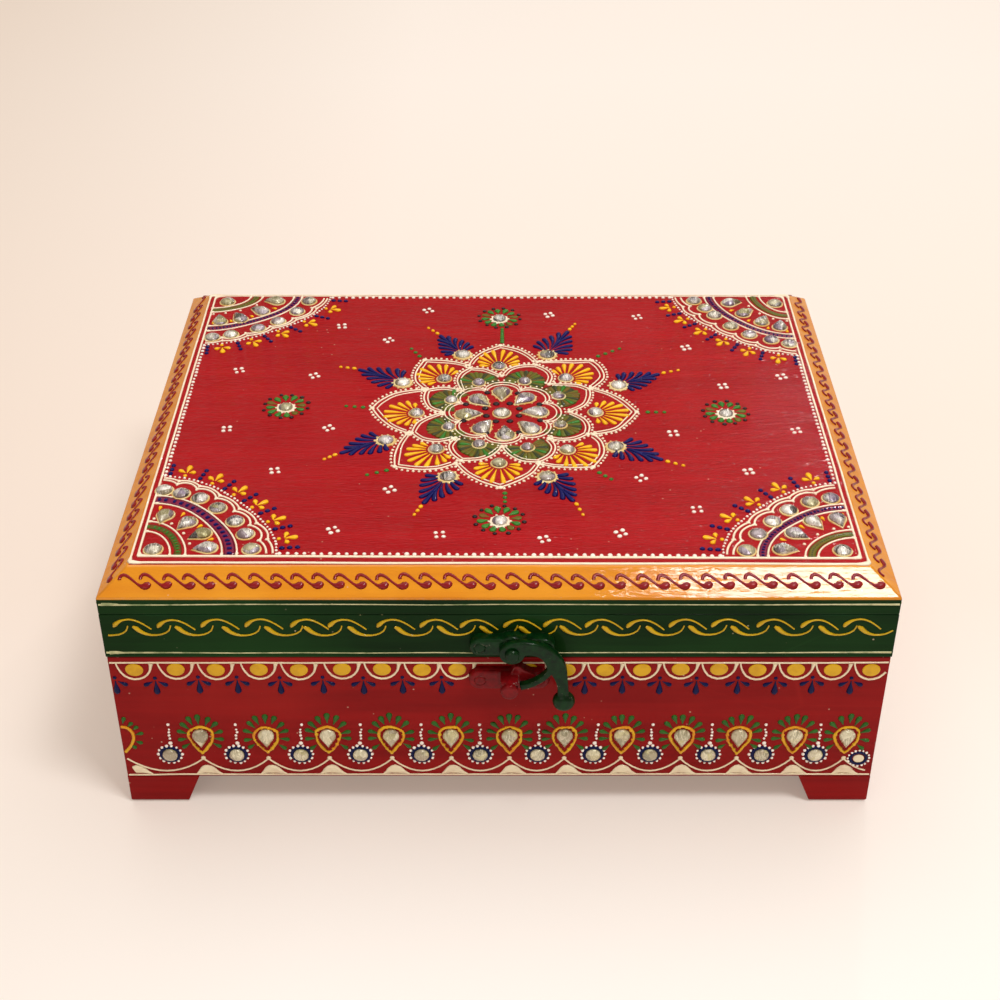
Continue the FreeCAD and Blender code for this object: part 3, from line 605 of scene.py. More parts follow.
def along_line(points: Sequence[Point], pitch: float, closed: bool = False) -> list[Point]:
    """Places at even steps along a line.

    Args:
        points: The line's points.
        pitch: The step.
        closed: Whether it leads back to its start.

    Returns:
        The places.
    """
    run = list(points) + ([points[0]] if closed else [])
    lengths = [math.dist(a[:2], b[:2]) for a, b in zip(run, run[1:])]
    total = sum(lengths)
    count = max(int(round(total / pitch)), 1)
    places = []
    for i in range(count if closed else count + 1):
        left = total * i / count
        k = 0
        while k < len(lengths) - 1 and left > lengths[k]:
            left -= lengths[k]
            k += 1
        a, b = run[k], run[k + 1]
        t = left / lengths[k] if lengths[k] else 0.0
        places.append((a[0] + (b[0] - a[0]) * t, a[1] + (b[1] - a[1]) * t))
    return places


@cache
def bead_mesh(large: bool) -> bpy.types.Mesh:
    """The ball that every dot of paint starts from.

    Args:
        large: Whether it gets more faces, for a large dot.

    Returns:
        The mesh, a ball of radius one.
    """
    bm = bmesh.new()
    segments = 20 if large else 8
    bmesh.ops.create_uvsphere(bm, u_segments=segments, v_segments=segments // 2, radius=1.0)
    mesh = bpy.data.meshes.new("bead")
    bm.to_mesh(mesh)
    bm.free()
    return mesh


@dataclass
class PaintLayer:
    """Raised paint of one colour on one face, in the face's millimetres."""

    settle: float = 0.5
    profile: int = 1
    strokes: list[tuple[list[StrokePoint], bool]] = field(default_factory=list)
    ovals: list[tuple[float, float, float, float, float]] = field(default_factory=list)

    def stroke(self, points: Sequence[StrokePoint], closed: bool = False, steps: int = 3) -> None:
        """Lay a smooth stroke whose width changes along it."""
        self.strokes.append((flow(points, steps, closed), closed))

    def ribbon(self, points: Iterable[Point], half: float, closed: bool = False, steps: int = 3) -> None:
        """Lay a smooth stroke of one width."""
        self.stroke([(p[0], p[1], half) for p in points], closed, steps)

    def straight(self, a: Point, b: Point, half: float) -> None:
        """Lay a straight line."""
        self.strokes.append(([(a[0], a[1], half), (b[0], b[1], half)], False))

    def dot(self, x: float, y: float, radius: float) -> None:
        """Set one round dot."""
        self.ovals.append((x, y, radius, radius, 0.0))

    def oval(self, x: float, y: float, long: float, short: float, turn: float) -> None:
        """Set one oval dot, turned by an angle in radians."""
        self.ovals.append((x, y, long, short, turn))

    def drop(self, tail: Point, head: Point, half: float, bend: float = 0.0) -> None:
        """Lay a teardrop.

        Args:
            tail: The tip of its thin tail.
            head: The far side of its round head.
            half: Half its width.
            bend: How far it bows to the left of its way, as a share of its length.
        """
        x, y = tail
        dx, dy = head[0] - x, head[1] - y
        ball = min(half / math.hypot(dx, dy), 0.45)
        neck = 1 - ball
        shares = [(0.0, 0.14), (0.3 * neck, 0.34), (0.6 * neck, 0.68), (0.85 * neck, 0.93)]
        shares += [(neck + ball * math.sin(turn), math.cos(turn)) for turn in (0.0, 0.5, 0.9, 1.2, 1.42)]
        run = []
        for t, wide in shares:
            aside = 4 * bend * t * (1 - t)
            run.append((x + dx * t - dy * aside, y + dy * t + dx * aside, half * wide))
        self.strokes.append((run, False))

    def beads(self, points: Sequence[Point], pitch: float, radius: float, closed: bool = False) -> None:
        """Set dots along a line, a little uneven as from a hand.

        Args:
            points: The line's points.
            pitch: The step from dot to dot.
            radius: The radius of a dot.
            closed: Whether the line leads back to its start.
        """
        for x, y in along_line(points, pitch, closed):
            size = radius * HAND.uniform(0.82, 1.15)
            self.dot(x + HAND.uniform(-0.12, 0.12), y + HAND.uniform(-0.12, 0.12), size)

    def into(self, bm: bmesh.types.BMesh, face: Face) -> None:
        """Model the layer's relief and put it on a face.

        Args:
            bm: The mesh that takes it.
            face: Where it lies.
        """
        part = bmesh.new()
        if self.strokes:
            curve = bpy.data.curves.new("strokes", "CURVE")
            curve.dimensions = "3D"
            curve.twist_mode = "Z_UP"
            curve.bevel_depth = 1.0
            curve.bevel_resolution = self.profile
            curve.use_fill_caps = True
            for points, closed in self.strokes:
                spline = curve.splines.new("POLY")
                spline.points.add(len(points) - 1)
                for target, (x, y, half) in zip(spline.points, points):
                    target.co = (x, y, 0.0, 1.0)
                    target.radius = half
                spline.use_cyclic_u = closed
            carrier = bpy.data.objects.new("strokes", curve)
            drawn = bpy.data.meshes.new_from_object(carrier)
            part.from_mesh(drawn)
            bpy.data.objects.remove(carrier)
            bpy.data.curves.remove(curve)
            bpy.data.meshes.remove(drawn)
        for x, y, long, short, turn in self.ovals:
            place = Matrix.Translation((x, y, 0)) @ Matrix.Rotation(turn, 4, "Z")
            size = Matrix.Diagonal((long, short, 0.5 * (long + short), 1.0))
            bead = bead_mesh(long > LARGE_DOT).copy()
            bead.transform(place @ size)
            part.from_mesh(bead)
            bpy.data.meshes.remove(bead)
        for vert in part.verts:
            z = vert.co.z
            vert.co.z = self.settle * math.tanh(z / self.settle) if z > 0 else -SUNK
        bmesh.ops.transform(part, matrix=face.matrix(), verts=part.verts)
        laid = bpy.data.meshes.new("laid")
        part.to_mesh(laid)
        part.free()
        bm.from_mesh(laid)
        bpy.data.meshes.remove(laid)


HAND = random.Random(HAND_SEED)


def make_piece(
    bm: bmesh.types.BMesh, name: str, materials: Sequence[bpy.types.Material], body: Body,
    smooth: bool = True, replaced: Sequence[str] = (),
) -> bpy.types.Object:
    """Turn a mesh into a piece that rides on a body.

    Args:
        bm: The mesh, in metres in the row frame. It is freed.
        name: The piece's name.
        materials: Its materials.
        body: The body that it rides on.
        smooth: Whether its faces are shaded smooth.
        replaced: The CAD nodes that it stands for.

    Returns:
        The object.
    """
    for made in bm.faces:
        made.smooth = smooth
    mesh = bpy.data.meshes.new(name)
    bm.to_mesh(mesh)
    bm.free()
    for material in materials:
        mesh.materials.append(material)
    piece = bpy.data.objects.new(name, mesh)
    bpy.context.scene.collection.objects.link(piece)
    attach(piece, body.value)
    if replaced:
        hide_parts(*replaced)
    LOG.info("made %s with %d faces", name, len(mesh.polygons))
    return piece


def make_relief(
    name: str, layers: Sequence[tuple[PaintLayer, Face]], finish: RaisedPaint, body: Body,
) -> bpy.types.Object:
    """Make one piece of raised paint from layers on one or more faces.

    Args:
        name: The piece's name.
        layers: The layers, each with its face.
        finish: The paint.
        body: The body that it rides on.

    Returns:
        The object.
    """
    bm = bmesh.new()
    for layer, face in layers:
        layer.into(bm, face)
    return make_piece(bm, name, [finish.material()], body)


def node_outlines(node: str, face: Face, count: int = 16) -> list[Stone]:
    """The middles and the base outlines of the stones of a CAD node.

    Args:
        node: The node's name.
        face: The face that carries them.
        count: How many points each outline gets.

    Returns:
        For each stone its middle, and its outline at even angles.
    """
    bm = bmesh.new()
    bm.from_mesh(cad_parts[node].data)
    bmesh.ops.remove_doubles(bm, verts=bm.verts, dist=1e-6)
    bmesh.ops.transform(bm, matrix=face.matrix().inverted(), verts=bm.verts)
    seen: set[bmesh.types.BMVert] = set()
    stones = []
    for start in bm.verts:
        if start in seen:
            continue
        island, edge = [], [start]
        seen.add(start)
        while edge:
            vert = edge.pop()
            island.append(vert)
            for link in vert.link_edges:
                other = link.other_vert(vert)
                if other not in seen:
                    seen.add(other)
                    edge.append(other)
        base = [v.co for v in island if v.co.z < 0.1]
        middle = (
            0.5 * (min(c.x for c in base) + max(c.x for c in base)),
            0.5 * (min(c.y for c in base) + max(c.y for c in base)),
        )
        polar = sorted(
            (math.atan2(c.y - middle[1], c.x - middle[0]), math.hypot(c.x - middle[0], c.y - middle[1]))
            for c in base if math.hypot(c.x - middle[0], c.y - middle[1]) > 0.5
        )
        outline = []
        for i in range(count):
            angle = -math.pi + 2 * math.pi * i / count
            nearest = min(polar, key=lambda item: abs(math.remainder(item[0] - angle, 2 * math.pi)))
            outline.append((
                middle[0] + nearest[1] * math.cos(nearest[0]), middle[1] + nearest[1] * math.sin(nearest[0]),
            ))
        stones.append((middle, outline))
    bm.free()
    return stones


def grown(outline: Sequence[Point], middle: Point, by: float) -> list[Point]:
    """An outline moved outwards from its middle.

    Args:
        outline: Its points.
        middle: Its middle.
        by: How far it moves.

    Returns:
        The new points.
    """
    result = []
    for x, y in outline:
        reach = math.hypot(x - middle[0], y - middle[1])
        share = (reach + by) / reach
        result.append((middle[0] + (x - middle[0]) * share, middle[1] + (y - middle[1]) * share))
    return result


def shifted(points: Iterable[StrokePoint], x: float, y: float) -> list[StrokePoint]:
    """Stroke points moved by x and y."""
    return [(x + p[0], y + p[1], p[2]) for p in points]


# Sizes of the chest


@dataclass
class Chest:
    """The sizes that the ornament is set out on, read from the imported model, in millimetres."""

    bevel_width: float = 9.0
    top_edge: float = 6.5

    def __post_init__(self) -> None:
        """Read the boxes of the lid and of the body."""
        low, high = (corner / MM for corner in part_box("lid_top_panel"))
        front_low, front_high = (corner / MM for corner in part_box("front_panel"))
        _, back_high = (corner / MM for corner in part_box("back_panel"))
        self.lid_low, self.lid_high = low, high
        self.crease = low.z + self.top_edge
        self.middle_y = 0.5 * (low.y + high.y)
        self.body_low = front_low
        self.body_high = Vector((front_high.x, back_high.y, front_high.z))

    def lid_half(self) -> Vector:
        """Half of the lid's size."""
        return (self.lid_high - self.lid_low) / 2

    def body_half(self) -> Vector:
        """Half of the body's size."""
        return (self.body_high - self.body_low) / 2

    def top(self) -> Face:
        """The lid's flat top, from its middle."""
        return Face(Vector((0, self.middle_y, self.lid_high.z)), Vector((1, 0, 0)), Vector((0, 1, 0)))

    def reach(self, side: Side, half: Vector) -> float:
        """How far one side stands from the middle."""
        return half.y if side in (Side.FRONT, Side.BACK) else half.x

    def width(self, side: Side, half: Vector) -> float:
        """How wide one side is."""
        return 2 * (half.x if side in (Side.FRONT, Side.BACK) else half.y)

    def upright(self, side: Side, half: Vector) -> Face:
        """An upright side, from the floor under its middle."""
        out = side.outwards() * self.reach(side, half)
        return Face(Vector((0, self.middle_y, 0)) + out, side.along(), Vector((0, 0, 1)))

    def slope(self, side: Side) -> Face:
        """The bevel over one side, from the middle of its lower edge.

        Args:
            side: Which side.

        Returns:
            The face.
        """
        half = self.lid_half()
        rise = self.lid_high.z - self.crease
        up = (Vector((0, 0, rise)) - side.outwards() * self.bevel_width).normalized()
        out = side.outwards() * self.reach(side, half)
        return Face(Vector((0, self.middle_y, self.crease)) + out, side.along(), up)


# Boards


RED_FRONT = Lacquer("red_wall_paint", "941414", "800F10", "A2201B", soft=0.0005)
RED_SIDE = replace(RED_FRONT, name="red_side_wall_paint", grain=(160.0, 9.0, 160.0))
RED_FRONT_WORN = Lacquer("red_wall_paint_worn", "961617", "7A1012", "AE3028", worn=True)
CRIMSON = Lacquer(
    "crimson_lid_paint", "AC0D16", "9E0A13", "B41821", grain=(7.0, 120.0, 120.0), varnish=0.22,
    ripple=0.0007, fineness=760.0, blur=0.035,
)
ORANGE = Lacquer(
    "orange_bevel_paint", "E89616", "DB840E", "F0A62C", varnish=1.0, ripple=0.00013, fineness=800.0,
)
ORANGE_WORN = replace(
    ORANGE, name="orange_bevel_paint_worn", base="E09014", deep="CC7A0E", chip="F0E0C0", worn=True,
)
GREEN = Lacquer("green_band_paint", "123210", "0B240A", "1A4018", varnish=0.08, soft=0.0005)
GREEN_SIDE = replace(GREEN, name="green_side_band_paint", grain=(160.0, 9.0, 160.0))
GREEN_WORN = Lacquer("green_band_paint_worn", "10300F", "0A200A", "24502E", "A89C70", worn=True, varnish=0.1)
INSIDE = BareWood("bare_wood")
INSIDE_SIDE = BareWood("bare_side_wood", grain=(90.0, 6.0, 90.0))
PLY = BareWood("bottom_board_wood", "C9A577", "9A6E42", (60.0, 8.0, 60.0))


@dataclass
class Boards:
    """The boards of the body and of the lid, made again with eased edges."""

    chest: Chest
    edge: float = 0.35
    lid_edge: float = 0.5
    top_strip: float = 1.2
    low_strip: float = 1.0

    def eased(
        self, bm: bmesh.types.BMesh, width: float, edges: Sequence[bmesh.types.BMEdge], worn: int,
    ) -> None:
        """Ease some edges and give the new strips the worn finish.

        Args:
            bm: The mesh.
            width: The width of the easing, in millimetres.
            edges: The edges.
            worn: The index of the worn finish.
        """
        done = bmesh.ops.bevel(
            bm, geom=list(edges), offset=width * MM, offset_type="OFFSET", segments=3, profile=0.5,
            affect="EDGES", material=-1, clamp_overlap=True,
        )
        for made in done["faces"]:
            made.material_index = worn

    def board(
        self, node: str, paints: Sequence[bpy.types.Material], into: Vector, body: Body,
    ) -> None:
        """Make one straight board in the place of its CAD node, with its inner face bare.

        Args:
            node: The node that it replaces.
            paints: Its finishes: the paint, the worn paint and the bare wood.
            into: The direction that its inner face looks in.
            body: The body that it rides on.
        """
        low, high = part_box(node)
        size = high - low
        bm = bmesh.new()
        place = Matrix.Translation((low + high) / 2) @ Matrix.Diagonal((size.x, size.y, size.z, 1.0))
        bmesh.ops.create_cube(bm, size=1.0, matrix=place)
        for made in bm.faces:
            made.material_index = 2 if made.normal.dot(into) > 0.9 else 0
        self.eased(bm, self.edge, bm.edges[:], 1)
        piece = make_piece(bm, node.replace("_panel", "_wall").replace("_rail", "_strip") + "_painted",
                           paints, body, replaced=[node])
        flatten(piece)

    def cut_board(
        self, node: str, name: str, paints: Sequence[bpy.types.Material], body: Body,
    ) -> None:
        """Make a back board again with its cuts for the hinges, and with its inner face bare.

        Args:
            node: The node that it replaces.
            name: The piece's name.
            paints: Its finishes, the paint first and the bare wood last.
            body: The body that it rides on.
        """
        bm = bmesh.new()
        bm.from_mesh(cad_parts[node].data)
        bmesh.ops.remove_doubles(bm, verts=bm.verts, dist=1e-6)
        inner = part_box(node)[0].y
        for made in bm.faces:
            bare = made.normal.y < -0.99 and made.calc_center_median().y < inner + 0.0002
            made.material_index = len(paints) - 1 if bare else 0
        make_piece(bm, name, paints, body, smooth=False, replaced=[node])

    def build_body(self) -> None:
        """Make the walls."""
        worn = RED_FRONT_WORN.material()
        long_way = [RED_FRONT.material(), worn, INSIDE.material()]
        short_way = [RED_SIDE.material(), worn, INSIDE_SIDE.material()]
        for side in (Side.FRONT, Side.LEFT, Side.RIGHT):
            paints = long_way if side is Side.FRONT else short_way
            self.board(side.name.lower() + "_panel", paints, -side.outwards(), Body.BOX)
        self.cut_board("back_panel", "back_wall_painted", long_way, Body.BOX)
        for name in ("front_left", "front_right", "back_left", "back_right"):
            dress_node("foot_" + name, RED_FRONT.material())
        dress_node("bottom_panel", PLY.material())

    def build_lid(self) -> None:
        """Make the lid's top with its bevels, and the strips under it."""
        worn = GREEN_WORN.material()
        long_way = [GREEN.material(), worn, INSIDE.material()]
        short_way = [GREEN_SIDE.material(), worn, INSIDE_SIDE.material()]
        for side in (Side.FRONT, Side.LEFT, Side.RIGHT):
            paints = long_way if side is Side.FRONT else short_way
            self.board("lid_" + side.name.lower() + "_rail", paints, -side.outwards(), Body.LID)
        self.cut_board("lid_back_rail", "lid_back_strip_painted", long_way, Body.LID)
        low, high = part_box("lid_top_panel")
        rise = high.z - self.chest.crease * MM
        bm = bmesh.new()
        size = Vector((high.x - low.x, high.y - low.y, self.chest.top_edge * MM))
        middle = Vector((0, self.chest.middle_y * MM, low.z + size.z / 2))
        bmesh.ops.create_cube(bm, size=1.0, matrix=Matrix.Translation(middle) @ Matrix.Diagonal((*size, 1.0)))
        top = max(bm.faces, key=lambda made: made.calc_center_median().z)
        ring = bmesh.ops.inset_region(
            bm, faces=[top], thickness=self.chest.bevel_width * MM, depth=rise, use_even_offset=True,
        )
        for made in bm.faces:
            made.material_index = 3 if made.normal.z < -0.9 else 2
        for made in ring["faces"]:
            made.material_index = 1
        top.material_index = 0
        crest = [edge for edge in bm.edges if edge.calc_face_angle(0.0) > 0.2]
        self.eased(bm, self.lid_edge, crest, 4)
        for made in bm.faces:
            if made.material_index == 4:
                middle_z = made.calc_center_median().z
                if middle_z > high.z - self.top_strip * MM:
                    made.material_index = 1
                elif middle_z < (self.chest.crease - self.low_strip) * MM:
                    made.material_index = 5
        paints = [CRIMSON.material(), ORANGE.material(), GREEN.material(), INSIDE.material(),
                  ORANGE_WORN.material(), GREEN_WORN.material()]
        piece = make_piece(bm, "lid_top_painted", paints, Body.LID, replaced=["lid_top_panel"])
        flatten(piece)


def flatten(piece: bpy.types.Object) -> None:
    """Shade the broad faces flat and the eased edges smooth.

    Args:
        piece: The board.
    """
    mesh = piece.data
    largest = max(polygon.area for polygon in mesh.polygons)
    for polygon in mesh.polygons:
        polygon.use_smooth = polygon.area < 0.02 * largest or polygon.area < 1e-5


def dress_node(node: str, material: bpy.types.Material) -> None:
    """Give a CAD node's own object a finish.

    Args:
        node: The node.
        material: The finish.
    """
    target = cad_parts[node]
    if not target.data.materials:
        target.data.materials.append(material)
    for i in range(len(target.material_slots)):
        target.material_slots[i].material = material
    LOG.info("dressed %s", node)


# Ornament of the lid's top


CREAM = RaisedPaint("cream_line_paint", "FFF4DA", "F2D0B4", 0.4)
WHITE = RaisedPaint("white_dot_paint", "FFFAF0", "F6E2D4", 0.35)
YELLOW = RaisedPaint("yellow_petal_paint", "FFC814", "F2A010", 0.45)
NAVY = RaisedPaint("navy_feather_paint", "090D58", "0C1268", 0.5, coat=0.08)
LEAF = RaisedPaint("leaf_green_paint", "2C7A24", "4A8A2C", 0.6)
MOSS = RaisedPaint("moss_green_paint", "62681C", "7E501C", 0.7, 0.35, coat=0.15)
DARK_MOSS = RaisedPaint("dark_moss_paint", "2E3A1A", "4A4A1A", 0.6, 0.35)
WASH = RaisedPaint("olive_wash", "545A1C", "7A3A1C", 0.9, 0.4, coat=0.15)
PURPLE = RaisedPaint("purple_wash", "7A1440", "8A1A3C", 0.6, 0.3)
BLACK = RaisedPaint("black_dot_paint", "1A0810", "2A0C18", 0.4)
GILT = RaisedPaint("yellow_bezel_paint", "EBD9A0", "E0A838", 0.7)


@dataclass
class LidOrnament:
    """Everything painted on the lid's flat top, with places in millimetres from its middle."""

    chest: Chest
    centre: Point = (1.4, 0.6)
    line_gap_x: float = 2.05
    dot_inset: float = 1.25
    ring_radii: Point = (17.2, 21.2)
    feather_heads: tuple[StrokePoint, ...] = (
        (0.14, 0.37, 0.02), (0.33, 0.37, 0.03), (0.51, 0.31, 0.12), (0.69, 0.22, 0.26), (0.86, 0.13, 0.42),
    )
    outer_web: tuple[StrokePoint, ...] = (
        (0.0, -3.4, 0.35), (0.0, -1.0, 0.85), (-0.8, -0.4, 1.1), (-2.6, 0.0, 0.8), (-5.4, 0.0, 0.4),
    )
    inner_web: tuple[StrokePoint, ...] = (
        (0.0, -2.8, 0.35), (-0.5, -0.9, 0.75), (-1.4, -0.3, 0.75), (-3.6, 0.0, 0.4),
    )
    outer_petals: tuple[tuple[Point, ...], ...] = (
        ((-11.5, 34.5), (-9.8, 39.5), (-6.0, 45.0), (0.5, 49.8), (7.0, 47.0), (11.5, 42.5), (14.5, 37.0)),
        ((14.5, 37.0), (20.5, 37.6), (28.0, 38.0), (35.5, 38.0), (38.4, 33.0), (39.3, 25.0), (34.5, 17.5)),
        ((34.5, 17.5), (40.0, 14.5), (45.5, 9.0), (50.0, 0.8), (46.5, -5.5), (41.5, -11.8), (33.5, -14.5)),
        ((33.5, -14.5), (36.2, -19.0), (36.6, -27.0), (32.5, -35.5), (26.0, -35.8), (19.0, -35.2),
         (14.0, -33.5)),
        ((14.0, -33.5), (11.5, -39.0), (6.5, -44.0), (0.5, -48.0), (-6.0, -44.4), (-11.5, -39.2),
         (-15.0, -33.0)),
        ((-15.0, -33.0), (-20.5, -36.2), (-28.0, -37.0), (-36.0, -35.2), (-36.3, -28.0),
         (-35.0, -20.0), (-32.5, -13.5)),
        ((-32.5, -13.5), (-38.2, -9.6), (-43.2, -3.0), (-46.2, 3.5), (-43.5, 8.8), (-37.5, 14.3),
         (-27.5, 17.0)),
        ((-27.5, 17.0), (-31.0, 22.5), (-31.2, 30.0), (-28.5, 38.5), (-22.0, 38.2), (-16.0, 36.8),
         (-11.5, 34.5)),
    )
    inner_petals: tuple[tuple[Point, ...], ...] = (
        ((1.0, 26.5), (3.6, 31.8), (8.6, 34.6), (14.0, 34.8), (18.2, 31.0), (19.9, 26.0), (18.6, 20.4)),
        ((18.6, 20.4), (24.5, 20.6), (29.5, 20.0), (33.6, 17.0), (33.4, 11.0), (31.0, 5.0), (25.5, 0.8)),
        ((25.5, 0.8), (30.6, -3.6), (32.4, -9.0), (31.6, -14.2), (27.0, -17.6), (21.5, -18.4), (17.6, -17.0)),
        ((17.6, -17.0), (19.8, -22.0), (18.4, -28.0), (13.8, -32.4), (8.0, -31.6), (3.6, -27.6),
         (1.0, -22.4)),
        ((1.0, -22.4), (-2.0, -27.4), (-6.6, -30.8), (-13.2, -31.4), (-16.4, -27.0),
         (-17.6, -21.6), (-15.4, -16.8)),
        ((-15.4, -16.8), (-21.0, -19.2), (-27.0, -18.0), (-31.2, -13.4), (-29.6, -7.0),
         (-26.0, -3.0), (-20.6, 0.4)),
        ((-20.6, 0.4), (-25.2, 3.2), (-27.6, 10.0), (-27.0, 16.4), (-21.0, 18.2), (-16.4, 17.0),
         (-13.6, 15.4)),
        ((-13.6, 15.4), (-15.6, 22.6), (-14.4, 28.4), (-11.0, 32.4), (-5.4, 31.6), (-1.4, 28.6), (1.0, 26.5)),
    )
    sprays: tuple[tuple[Point, Point, Point], ...] = (
        ((-14.0, 43.5), (-22.8, 57.3), (-27.8, 63.8)), ((18.5, 43.5), (26.7, 60.5), (30.0, 67.0)),
        ((-36.0, 22.5), (-52.5, 31.0), (-60.0, 33.2)), ((44.5, 20.5), (59.7, 27.7), (67.7, 30.8)),
        ((-40.0, -17.5), (-55.0, -26.5), (-60.7, -30.5)), ((41.0, -21.5), (56.3, -30.7), (63.7, -34.5)),
        ((-17.5, -40.5), (-25.0, -57.0), (-28.0, -64.0)), ((16.5, -40.5), (24.7, -55.7), (27.8, -64.0)),
    )
    green_runs: tuple[tuple[Point, Point, int], ...] = (
        ((-49.6, 4.0), (-55.8, 4.8), 3), ((54.0, 0.6), (60.0, 0.6), 3), ((-30.5, 41.5), (-33.8, 47.3), 3),
        ((38.0, 41.5), (46.5, 47.3), 4), ((-38.7, -37.5), (-45.2, -40.3), 3),
        ((34.5, -39.0), (38.3, -43.0), 3), ((1.2, 52.5), (1.2, 63.0), 8), ((2.0, -51.5), (2.0, -56.5), 3),
    )
    rosettes: tuple[Point, ...] = ((0.2, 72.3), (0.3, -66.7), (-77.7, 4.8), (82.2, 0.5))
    clusters: tuple[Point, ...] = (
        (-28.5, 78.3), (20.0, 74.7), (55.0, 72.8), (-62.2, 65.3), (-43.0, 54.0), (-98.2, 30.7), (-69.5, 26.7),
        (72.2, 48.0), (83.3, 19.0), (106.2, 26.0), (-97.3, -10.8), (-61.0, -10.3), (62.0, -13.8),
        (106.0, -12.0), (-77.2, -37.7), (-37.0, -49.3), (85.8, -38.3), (48.5, -42.3), (65.8, -61.0),
        (-54.2, -72.7), (-19.3, -75.3), (14.7, -77.8), (39.8, -74.5),
    )

    def __post_init__(self) -> None:
        """Start one layer for each paint."""
        self.cream = PaintLayer(0.4)
        self.white = PaintLayer(0.4)
        self.yellow = PaintLayer(0.5)
        self.navy = PaintLayer(0.5)
        self.leaf = PaintLayer(0.35)
        self.moss = PaintLayer(0.2)
        self.moss_dark = PaintLayer(0.22)
        self.wash_layer = PaintLayer(0.08)
        self.purple = PaintLayer(0.1)
        self.black = PaintLayer(0.35)
        self.gilt = PaintLayer(0.5)

    def border(self) -> None:
        """The double cream border, and the webs of paint at its corners."""
        corners = {key: sizes.corner for key, sizes in FAN_SIZES.items()}
        order = ((-1, -1), (1, -1), (1, 1), (-1, 1))
        outside = {key: self.outside(corners[key], key) for key in order}
        for points, front, side, back in ((corners, 0.6, 0.44, 0.32), (outside, 0.56, 0.42, 0.28)):
            for a, b in zip(order, order[1:] + order[:1]):
                half = side if a[0] == b[0] else front if a[1] < 0 else back
                (ax, ay), (bx, by) = points[a], points[b]
                run = []
                for i in range(15):
                    t = i / 14
                    wobble = HAND.uniform(-0.11, 0.11) if 0 < i < 14 else 0.0
                    across = (0.0, wobble) if a[1] == b[1] else (wobble, 0.0)
                    run.append((ax + (bx - ax) * t + across[0], ay + (by - ay) * t + across[1], half))
                self.cream.stroke(run, steps=2)
        for key in order:
            side_x, side_y = key
            for (x, y), web in ((outside[key], self.outer_web), (corners[key], self.inner_web)):
                run = [(x + side_x * px, y + side_y * py, half) for px, py, half in web]
                self.cream.stroke(run, steps=3)

    def outside(self, corner: Point, key: tuple[int, int]) -> Point:
        """The corner of the border's outer line."""
        gap = {(-1, -1): 3.5, (1, -1): 3.1}.get(key, 0.95)
        return corner[0] + key[0] * self.line_gap_x, corner[1] + key[1] * gap

    def border_dots(self, fans: Sequence["CornerFan"]) -> None:
        """The row of dots inside the border, between the fans.

        Args:
            fans: The corner fans.
        """
        ends = {(fan.side_x, fan.side_y): fan for fan in fans}
        for first, second, pitch, size in (
            ((-1, -1), (1, -1), 2.7, 0.82), ((-1, 1), (1, 1), 2.75, 0.82),
            ((-1, -1), (-1, 1), 2.35, 0.7), ((1, -1), (1, 1), 2.35, 0.7),
        ):
            a, b = ends[first], ends[second]
            if first[1] == second[1]:
                start = (a.corner[0] + a.reach(5)[0] + 1.5, a.corner[1] - a.side_y * self.dot_inset)
                stop = (b.corner[0] - b.reach(5)[0] - 1.5, b.corner[1] - b.side_y * self.dot_inset)
            else:
                start = (a.corner[0] - a.side_x * self.dot_inset, a.corner[1] + a.reach(5)[1] + 1.5)
                stop = (b.corner[0] - b.side_x * self.dot_inset, b.corner[1] - b.reach(5)[1] - 1.5)
            self.white.beads([start, stop], pitch, size)

    def medallion(self) -> None:
        """The petals, the lobed ring and the dots between the drops."""
        for petal in self.outer_petals:
            self.petal(petal, 1.75, 1.35)
        for petal in self.inner_petals:
            self.petal(petal, 1.45, 1.15)
        cx, cy = self.centre
        for gap, half in ((0.0, 0.34), (1.65, 0.3)):
            points = []
            for i in range(96):
                angle = 2 * math.pi * i / 96
                inner, outer = self.ring_radii
                radius = inner + (outer - inner) * abs(math.cos(4 * angle)) ** 0.6 - gap
                points.append((cx + radius * math.cos(angle), cy + radius * math.sin(angle)))
            self.cream.ribbon(points, half, True, 1)
            if not gap:
                ring = [(cx + (x - cx) * 1.07, cy + (y - cy) * 1.07) for x, y in points]
                self.cream.beads(ring, 2.2, 0.5, True)
        for i in range(8):
            angle = math.radians(22.5 + 45 * i)
            for radius, size in ((6.4, 1.4), (14.8, 1.3)):
                radius += HAND.uniform(-0.6, 0.6)
                self.black.dot(cx + radius * math.cos(angle), cy + radius * math.sin(angle), size)
            self.cream.dot(cx + 17.4 * math.cos(angle), cy + 17.4 * math.sin(angle), 0.75)

    def petal(self, points: Sequence[Point], gap: float, beads: float) -> None:
        """One petal: two outlines, beads outside and blobs at its tip and its feet.

        Args:
            points: The outer outline, its tip in the middle.
            gap: The gap between the outlines.
            beads: How far outside the beads lie.
        """
        tip = points[3]
        first, second = list(points[:4]), list(points[3:])
        feet = (0.275 * (points[0][0] + points[-1][0]), 0.275 * (points[0][1] + points[-1][1]))
        middle = (0.45 * tip[0] + feet[0], 0.45 * tip[1] + feet[1])
        for part in (first, second):
            self.cream.ribbon(part, 0.38, steps=4)
            inside = [self.toward(p, middle, gap) for p in part]
            self.cream.ribbon(inside, 0.3, steps=4)
            outside = [self.toward(p, middle, -beads) for p in part]
            smooth = [(p[0], p[1]) for p in flow([(q[0], q[1], 1.0) for q in outside], 4)]
            self.cream.beads(smooth[1:-1], 1.95, 0.58)
        self.cream.dot(tip[0], tip[1], 1.05)
        self.cream.dot(points[0][0], points[0][1], 0.95)
        self.cream.dot(*self.toward(points[0], middle, -1.5), 0.7)

